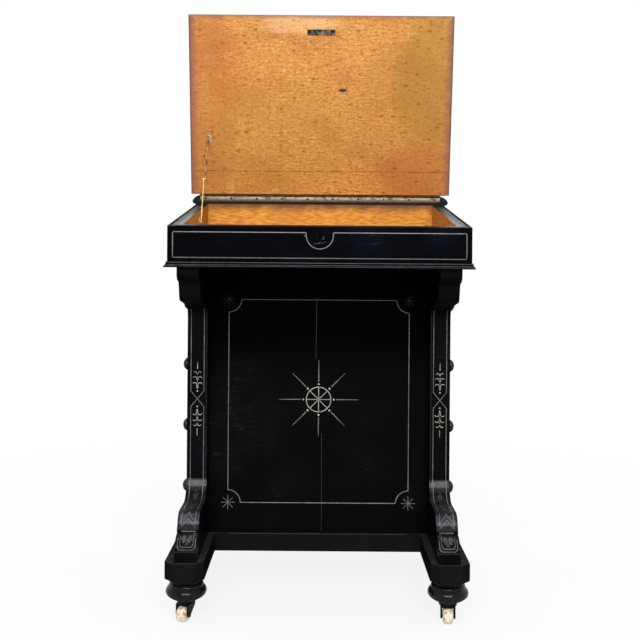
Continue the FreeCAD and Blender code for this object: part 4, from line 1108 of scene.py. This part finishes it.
# %% Press the column ornament and copy it to the right
both_sides("column_lines", column_lines, column_cut)
both_sides("cove_lines", cove_lines, carved)
both_sides("column_hooks", [upper_spray, lower_spray], bright_cut)

# %% A faint line inside the inner edge of each column
EDGE_LINE_X = COLUMN_INSIDE - 2.2
inner_edge = [ribbon((EDGE_LINE_X, LINES_TOP), (EDGE_LINE_X, SCROLL_TOP + 2), 0.8, cuts=110)]
both_sides("column_edge_lines", inner_edge, faint_cut)

# %% [markdown]
# ## The carved foot of each support
#
# Below the column the support swells forward in a scroll.  Its lines run on over a level shelf,
# where a ring and small leaves stand between them.  The rounded nose is cut with nested chevrons,
# a grey bar below it is a painted highlight on the ledge above the toe, and the toe carries a
# U-shaped frame with two curls.  Long ribbons are cut into short lengths first, so that they can
# bend round the curved wood, and the ornament of the level shelf is pressed down onto it from above.

# %% The level shelf of the scroll
SHELF_FRONT, SHELF_BACK = BOX_FACE + 70, BOX_FACE + 121
ABOVE_SHELF = 235.0

shelf_lines = [ribbon((x, SHELF_FRONT), (x, SHELF_BACK + 4), CUT_WIDTH, cuts=24)
               for x in (LINE_OUT, LINE_IN)]
both_sides("scroll_shelf_lines", shelf_lines, carved, down=ABOVE_SHELF)

leaves = [bow((COLUMN_MIDDLE, SHELF_FRONT + 14), 3.6, 0, 360, 1.1, steps=16),
          dot((COLUMN_MIDDLE, SHELF_FRONT + 14), 1.2)]
for side in (-1, 1):
    leaves.append(bow((COLUMN_MIDDLE + 4.5 * side, SHELF_FRONT + 26), 4, 180 if side > 0 else 0,
                      -150 * side, 1.1, steps=8))
    leaves.append(ribbon((COLUMN_MIDDLE + 1.5 * side, SHELF_FRONT + 34),
                         (COLUMN_MIDDLE + 6 * side, SHELF_FRONT + 44), 1.2, taper=0.4))
both_sides("scroll_shelf_leaves", leaves, dim_cut, down=ABOVE_SHELF)

# %% Leaf ticks in the cove above the shelf
cove_leaves = []
for side in (-1, 1):
    cove_leaves.append(ribbon((COLUMN_MIDDLE + 1.2 * side, 205), (COLUMN_MIDDLE + 5 * side, 213),
                              1.2, cuts=6, taper=0.4))
cove_leaves.append(ribbon((COLUMN_MIDDLE, 208), (COLUMN_MIDDLE, 219), 1.0, cuts=8, taper=0.4))
both_sides("cove_leaves", cove_leaves, dim_cut)

# %% Chevrons on the nose and a painted highlight on the ledge below
CHEVRONS = ((199.5, 9.5, 11), (191, 12.5, 14))
chevrons = [ribbon((COLUMN_MIDDLE, apex), (COLUMN_MIDDLE + reach_out * side, apex - fall), 0.9,
                   cuts=12) for apex, reach_out, fall in CHEVRONS for side in (-1, 1)]
both_sides("nose_chevrons", chevrons, carved)
# The grey bar is a painted highlight where the ledge above the toe catches the light.
both_sides("ledge_highlight_bar", [ribbon((LINE_OUT + 1, 169), (LINE_IN + 2, 169), 2.6, cuts=2)], dim_cut)

# %% U frame of the toe
TOE_MIDDLE = COLUMN_MIDDLE + 1
CORNER_TURN = 6.5


def u_frame(half, top, low, width):
    """Two sides, two rounded corners and a foot, drawn about the middle of the toe."""
    made = [ribbon((TOE_MIDDLE - half + CORNER_TURN, low), (TOE_MIDDLE + half - CORNER_TURN, low),
                   width, cuts=6)]
    for side in (-1, 1):
        x = TOE_MIDDLE + half * side
        made.append(ribbon((x, top), (x, low + CORNER_TURN), width, cuts=12))
        made.append(bow((x - CORNER_TURN * side, low + CORNER_TURN), CORNER_TURN,
                        270 if side > 0 else 180, 90, width, steps=10))
    return made


both_sides("toe_frame", u_frame(12.5, 163, 147.5, 0.8) + u_frame(16.5, 161, 143, 1.0), carved)

# %% Curls and flower inside the toe frame
curls = [ribbon((TOE_MIDDLE - 1.5, 150.5), (TOE_MIDDLE + 0.5, 155.5), 1.1, cuts=3),
         ribbon((TOE_MIDDLE + 2.5, 151), (TOE_MIDDLE + 0.5, 155.5), 0.9, cuts=3)]
for side in (-1, 1):
    curls.append(bow((TOE_MIDDLE + 5.5 * side, 159), 4.0, 90 - 90 * side, 290 * side, 1.2,
                     steps=14))
    curls.append(bow((TOE_MIDDLE + 5.5 * side, 159), 1.9, 0, 360, 1.5, steps=10))
both_sides("toe_curls", curls, dim_cut)

FLOWER = (TOE_MIDDLE + 12.3, 164.2)
flower = [dot((FLOWER[0] + 1.7 * math.cos(math.radians(72 * step)),
               FLOWER[1] + 1.7 * math.sin(math.radians(72 * step))), 0.75) for step in range(5)]
both_sides("toe_flower", flower, carved)

# %% [markdown]
# ## Turned bun feet
#
# A bun foot is turned on a lathe: a fat bulb, a ridge cut above it, a narrow neck and a collar
# under the rail.  The solid piece has the plain bulb.  Here the same foot is built as a turner
# would read it, from the sole upward: a disc is extruded and resized again and again, once for
# every change of radius, and the bore for the caster's pin is sunk into the sole.

# %% Turn one foot
SOLE = reach("bun_feet", 0, 2)
FOOT_PROFILE = [
    (17.2, 2.0), (20.2, 4.2), (24.6, 6.8), (29.6, 9.6), (33.7, 12.5), (36.5, 15.2),
    (38.1, 18.0), (38.7, 20.4), (38.2, 23.6), (36.8, 26.4), (34.6, 28.8), (32.6, 30.0),
    (31.7, 30.8), (32.4, 31.8), (32.7, 33.4), (31.8, 35.4), (29.6, 37.2), (27.0, 38.4),
    (26.4, 39.6), (27.2, 40.8), (29.6, 41.4), (30.0, 42.2), (30.0, 48.0),
]
FOOT_RADIUS = 38.7
PIN_BORE, BORE_DEPTH, SOLE_RADIUS = 3.2, 20.0, 16.5


def build_up(piece, axis, centre, radius, height, profile):
    """Pull a disc along an axis (1 is Y, 2 is Z), and resize it, once for each (radius, height)."""
    choose(piece, "FACE", everything)
    for next_radius, next_height in profile:
        lift, grow = [0, 0, 0], [next_radius / radius] * 3
        lift[axis], grow[axis] = (next_height - height) * MM, 1
        bpy.ops.mesh.extrude_region_move(TRANSFORM_OT_translate={"value": lift})
        bpy.ops.transform.resize(value=grow, center_override=centre)
        radius, height = next_radius, next_height
    leave_edit()
    return piece


def turned_foot(x, y):
    """A foot built ring by ring above a disc."""
    centre = Vector((x, y, SOLE)) * MM
    return build_up(disc(SOLE_RADIUS, 56, centre), 2, centre, SOLE_RADIUS, 0.0, FOOT_PROFILE)


def sink_bore(piece):
    """Close the open sole with a face, inset it to the pin's size and push that inward."""
    choose(piece, "EDGE", lambda corners: all(abs(corner.z - SOLE) < 0.01 for corner in corners))
    bpy.ops.mesh.edge_face_add()
    bpy.ops.mesh.select_mode(type="FACE")
    bpy.ops.mesh.inset(thickness=(SOLE_RADIUS - PIN_BORE) * MM)
    bpy.ops.mesh.extrude_region_move(TRANSFORM_OT_translate={"value": (0, 0, BORE_DEPTH * MM)})
    weld()
    bpy.ops.mesh.faces_shade_smooth()
    leave_edit()
    return piece


foot_low, foot_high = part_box("bun_feet")
foot_x = foot_high.x / MM - FOOT_RADIUS
front_y, rear_y = foot_low.y / MM + FOOT_RADIUS, foot_high.y / MM - FOOT_RADIUS
first_foot = smooth(sink_bore(turned_foot(-foot_x, front_y)))


def open_edges(piece):
    """How many edges don't have a face on either side; a closed body has none."""
    faces_at = [key for polygon in piece.data.polygons for key in polygon.edge_keys]
    return sum(faces_at.count(key) != 2 for key in set(faces_at))


print("open edges of the foot:", open_edges(first_foot))

# %% Copy the foot to the other corners
feet = {"front_left": first_foot}
for corner, x, y in (("front_right", foot_x, front_y), ("rear_left", -foot_x, rear_y),
                     ("rear_right", foot_x, rear_y)):
    copied = duplicate(first_foot)
    copied.location = Vector((x + foot_x, y - front_y, 0)) * MM
    feet[corner] = copied
for corner, piece in feet.items():
    finish(piece, f"bun_foot_{corner}", ebonised_turned)
    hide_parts("bun_feet")

# %% [markdown]
# ## Runners and caster wheels
#
# A runner is a plank with its four upright corners cut off, and a small cut under each of them, so
# that the end reads as a boat's bow from below.  A block is bevelled three times for that.  The
# caster's wheel is a porcelain barrel: half of its section is spun once round the axle.

# %% Bevel a runner
CORNER_CUT, UNDER_CUT, TOP_EASE = 16.0, 5.5, 1.2


def bevelled_runner(side):
    """A plank with its upright corners cut off, cut again under them, and its top edges eased."""
    low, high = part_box(f"runner_{side}")
    piece = block(bpy.ops.mesh.primitive_cube_add, (low + high) / 2, (high - low) / MM)
    edit(piece, "EDGE", lambda ends: abs(ends[0].z - ends[1].z) > 1,
         bpy.ops.mesh.bevel, offset=CORNER_CUT * MM, segments=1)
    edit(piece, "EDGE", lambda ends: all(abs(end.z - low.z / MM) < 0.01 for end in ends)
         and abs(ends[0].x - ends[1].x) > 1 and abs(ends[0].y - ends[1].y) > 1,
         bpy.ops.mesh.bevel, offset=UNDER_CUT * MM, segments=1)
    edit(piece, "EDGE", lambda ends: all(abs(end.z - high.z / MM) < 0.01 for end in ends),
         bpy.ops.mesh.bevel, offset=TOP_EASE * MM, segments=2)
    return piece


for side in ("left", "right"):
    shaped = bevelled_runner(side)
    print("open edges of the runner:", open_edges(shaped))
    finish(shaped, f"shaped_runner_{side}", ebonised_matt)
    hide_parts(f"runner_{side}")

# %% Spin a wheel
WHEEL_R, WHEEL_HALF, BORE_R, WHEEL_ROUND = 14.95, 9.7, 2.6, 6.5


def spun_wheel():
    """Half a section with its outer corners rounded, spun about the X axis at the origin."""
    piece = block(bpy.ops.mesh.primitive_plane_add, (0, 0, (WHEEL_R + BORE_R) / 2 * MM),
                  (WHEEL_HALF * 2, WHEEL_R - BORE_R, 1), rotation=(math.pi / 2, 0, 0))
    choose(piece, "VERT", lambda corners: corners[0].z > WHEEL_R - 0.1)
    bpy.ops.mesh.bevel(offset=WHEEL_ROUND * MM, segments=7, affect="VERTICES")
    bpy.ops.mesh.select_mode(type="FACE")
    bpy.ops.mesh.select_all(action="SELECT")
    bpy.ops.mesh.delete(type="ONLY_FACE")
    bpy.ops.mesh.select_mode(type="EDGE")
    bpy.ops.mesh.select_all(action="SELECT")
    bpy.ops.mesh.spin(steps=44, angle=2 * math.pi, center=(0, 0, 0), axis=(1, 0, 0))
    weld()
    leave_edit()
    return smooth(piece)


wheel = spun_wheel()
print("open edges of the wheel:", open_edges(wheel))

# %% Set a wheel on every axle
AXLES = {joint["child"]: joint for joint in frame["joints"] if joint["name"].startswith("roll_")}
for body, joint in AXLES.items():
    turned = duplicate(wheel)
    axle = Vector(joint["axis"])
    turned.rotation_euler = (0, 0, math.atan2(axle.y, axle.x))
    turned.location = joint["pos_m"]
    corner = joint["name"].removeprefix("roll_")
    finish(turned, f"turned_wheel_{corner}", porcelain, body=body)
    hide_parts(f"caster_wheel_{corner}")
discard(wheel)

# %% [markdown]
# ## Small marks of age
#
# Old panels shrink and split.  Two dry cracks run down this one, above and below its wheel.

# %% Cracks in the panel
cracks = [ribbon((-5, PANEL_LINE_HIGH + 4), (-6, 478), 0.7, cuts=4),
          ribbon((6.5, 325), (7.5, 125), 0.7, cuts=4)]
inlay("panel_cracks", cracks, crack, "pedestal_front", MARK_PROUD)

# %% [markdown]
# ## Hinge screws
#
# Each screw has a low domed head with a slot for the driver.  When the lid shuts, its hinge leaf
# comes down flat over these heads, so they must stay lower than the gap between the leaves.  One
# screw is built up from a disc, as the feet were, and a boolean modifier cuts the slot.

# %% Build one screw
SCREW_COUNT = 10
HEAD_RADIUS = (reach("hinge_screws", 1, 2) - reach("hinge_screws", 0, 2)) / 2
SHANK_TIP = reach("hinge_screws", 1, 1)
LEAF_GAP = 0.3
LEAF_FACE = HINGE_Y + LEAF_GAP
HEAD_HEIGHT = 0.22
SLOT_WIDTH, SLOT_DEPTH = 0.8, 0.17
# The shank's end and the head: each radius as a share of the head's, and each height in front of
# the leaf.
SCREW_PROFILE = [(HEAD_RADIUS * share, LEAF_FACE - height) for share, height in (
    (0.5, 0.02), (1, 0.02), (1, 0.07), (0.9, 0.15), (0.6, 0.20), (0.2, HEAD_HEIGHT))]


def slotted_screw():
    """A shank and a domed head about the Y axis, then a slot cut across the head."""
    tip = Vector((0, SHANK_TIP, 0)) * MM
    piece = disc(HEAD_RADIUS / 2, 24, tip, rotation=(math.pi / 2, 0, 0))
    build_up(piece, 1, tip, HEAD_RADIUS / 2, SHANK_TIP, SCREW_PROFILE)
    choose(piece, "EDGE", lambda ends: all(abs(end.y - SHANK_TIP) < 0.01 for end in ends))
    bpy.ops.mesh.edge_face_add()
    weld(threshold=0.000001)
    leave_edit()
    cutter = block(bpy.ops.mesh.primitive_cube_add,
                   (0, (LEAF_FACE - HEAD_HEIGHT - 1 + SLOT_DEPTH) * MM, 0),
                   (HEAD_RADIUS * 3, 2, SLOT_WIDTH))
    use(piece, "BOOLEAN", operation="DIFFERENCE", object=cutter, solver="EXACT")
    discard(cutter)
    return piece


screw = slotted_screw()
print("open edges of the screw:", open_edges(screw))

# %% Set the screws along the leaf, each slot at its own angle
screw_z = reach("hinge_screws", 0, 2) + HEAD_RADIUS
first_x = reach("hinge_screws", 0, 0) + HEAD_RADIUS
last_x = reach("hinge_screws", 1, 0) - HEAD_RADIUS
screws = []
for number in range(SCREW_COUNT):
    driven = duplicate(screw)
    driven.rotation_euler = (0, 0.7 + 2.4 * number, 0)
    x = first_x + (last_x - first_x) * number / (SCREW_COUNT - 1)
    driven.location = Vector((x, 0, screw_z)) * MM
    screws.append(settle(driven))
discard(screw)
slotted = finish(merge(screws), "slotted_hinge_screws", black_brass)
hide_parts("hinge_screws")

# %% [markdown]
# ## Gilt line on the writing leather
#
# The leather on the lid's outer side has a gold line pressed round it.  It is drawn upright and
# then leaned back with the lid, which is a turn about the hinge.

# %% Gilt tooling
def gilt():
    material, tree, shader = recipe("gilt_tooling", roughness=0.4, metallic=1.0)
    rubbed = noise(place(tree), 130.0, 5.0, 0.65)
    colour = tint(band(rubbed, 0.45, 0.62), (0.750, 0.520, 0.200), (0.080, 0.030, 0.018))
    feed(shader, Base_Color=colour)
    return material


def bar(start, end, width, thickness):
    """A thin straight bar between two points (x, z) in the plane y = 0, with eased edges."""
    (x0, z0), (x1, z1) = start, end
    middle = ((x0 + x1) / 2 * MM, 0, (z0 + z1) / 2 * MM)
    size = (math.dist(start, end), thickness, width)
    piece = block(bpy.ops.mesh.primitive_cube_add, middle, size,
                  rotation=(0, -math.atan2(z1 - z0, x1 - x0), 0))
    edit(piece, "EDGE", everything, bpy.ops.mesh.bevel, offset=thickness * 0.25 * MM, segments=1)
    return piece


LEATHER_HALF = reach("lid_leather", 1, 0)
LEATHER_NEAR, LEATHER_FAR = 48.0, 346.4
WRITING_FACE = 0.28
tooling = []
for inset, width in ((9, 1.6), (13, 0.8)):
    x, low, high = LEATHER_HALF - inset, LEATHER_NEAR + inset, LEATHER_FAR - inset
    points = [(-x, low), (x, low), (x, high), (-x, high)]
    for start, end in zip(points, points[1:] + points[:1]):
        tooling.append(bar(start, end, width, 0.3))
tooled = merge(tooling)
tooled.rotation_euler = (LID_LEAN, 0, 0)
tooled.location = (Vector((0, HINGE_Y, SHELF_TOP))
                   + Vector((0, math.cos(LID_LEAN), math.sin(LID_LEAN))) * WRITING_FACE) * MM
finish(tooled, "leather_tooling", gilt(), body="lid")

# %% [markdown]
# ## Studio
#
# The desk stands on a plain pale floor in soft light.  A wide lamp above and in front does most of
# the work.  The background is plain white wherever the camera or a reflection sees it, which is
# set by the kind of ray and not by more light, so the desk itself is lit at a plain level.

# %% Floor
bpy.ops.object.select_all(action="DESELECT")
bpy.ops.mesh.primitive_plane_add(size=14, location=(0, 0, cad_low.z))
floor = bpy.context.object
floor.name = "studio_floor"
floor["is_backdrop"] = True


def seen_plainly(tree):
    """1 for rays that show the background: from the camera, a reflection or through glass."""
    path = node(tree, "ShaderNodeLightPath", {})
    seen = most(path.outputs["Is Camera Ray"], path.outputs["Is Glossy Ray"])
    return most(seen, path.outputs["Is Transmission Ray"])


def floor_paint():
    material = bpy.data.materials.new("studio_floor_paint")
    material.use_nodes = True
    tree = material.node_tree
    tree.nodes.clear()
    matt = node(tree, "ShaderNodeBsdfDiffuse", {"Color": (0.82, 0.82, 0.82, 1)})
    glow = node(tree, "ShaderNodeEmission", {"Color": (1, 1, 1, 1), "Strength": 1.0})
    fading = band(length(place(tree)), 0.55, 1.9, 0.86, 1.0)
    share = times(seen_plainly(tree), fading)
    mixed = node(tree, "ShaderNodeMixShader", {0: share, 1: matt.outputs[0], 2: glow.outputs[0]})
    node(tree, "ShaderNodeOutputMaterial", {"Surface": mixed.outputs[0]})
    return material


floor.data.materials.append(floor_paint())

# %% World
world = bpy.data.worlds.new("studio_world")
bpy.context.scene.world = world
world.use_nodes = True
tree = world.node_tree
tree.nodes.clear()
soft_fill = node(tree, "ShaderNodeBackground", {"Color": (0.96, 0.98, 1.0, 1), "Strength": 0.34})
plain_white = node(tree, "ShaderNodeBackground", {"Color": (1, 1, 1, 1), "Strength": 1.0})
both = node(tree, "ShaderNodeMixShader", {0: seen_plainly(tree), 1: soft_fill.outputs[0],
                                          2: plain_white.outputs[0]})
node(tree, "ShaderNodeOutputWorld", {"Surface": both.outputs[0]})


# %% Lamps
def lamp(name, location, target, size, power):
    bpy.ops.object.select_all(action="DESELECT")
    bpy.ops.object.light_add(type="AREA", location=location)
    made = bpy.context.object
    made.name = name
    made.data.shape = "RECTANGLE"
    made.data.size, made.data.size_y = size
    made.data.energy = power
    aim = Vector(target) - Vector(location)
    made.rotation_euler = aim.to_track_quat("-Z", "Y").to_euler()
    return made


lamp("front_softbox", (0, -1.95, 2.10), (0, 0, 0.70), (2.2, 1.1), 20)
lamp("front_strip", (0, -2.10, 1.30), (0, 0, 0.45), (1.6, 0.15), 32)
lamp("top_softbox", (0, 0.1, 2.7), (0, 0, 0.6), (1.8, 1.4), 30)
lamp("back_softbox", (0, 2.4, 1.7), (0, 0, 0.6), (2.2, 0.8), 22)

# %% [markdown]
# ## Camera
#
# The camera stands level in front of the desk, at about the height of the box.  A small vertical
# shift keeps upright edges upright, as a view camera does.

# %% Camera
CAMERA_PLACE = (0.0007, -1.8551, 0.6798)
CAMERA_ROLL = -0.0077
bpy.ops.object.camera_add(location=CAMERA_PLACE, rotation=(math.pi / 2, CAMERA_ROLL, 0))
camera = bpy.context.object
camera.data.lens = 49.33
camera.data.sensor_width = 36
camera.data.shift_y = -0.0936
bpy.context.scene.camera = camera
bpy.context.scene.view_settings.view_transform = "Standard"

# %% Print how far the model grew past the solid pieces, and finish
low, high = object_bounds()
print("grew by (mm):", [round((high[i] - cad_high[i]) / MM, 3) for i in range(3)],
      [round((cad_low[i] - low[i]) / MM, 3) for i in range(3)])
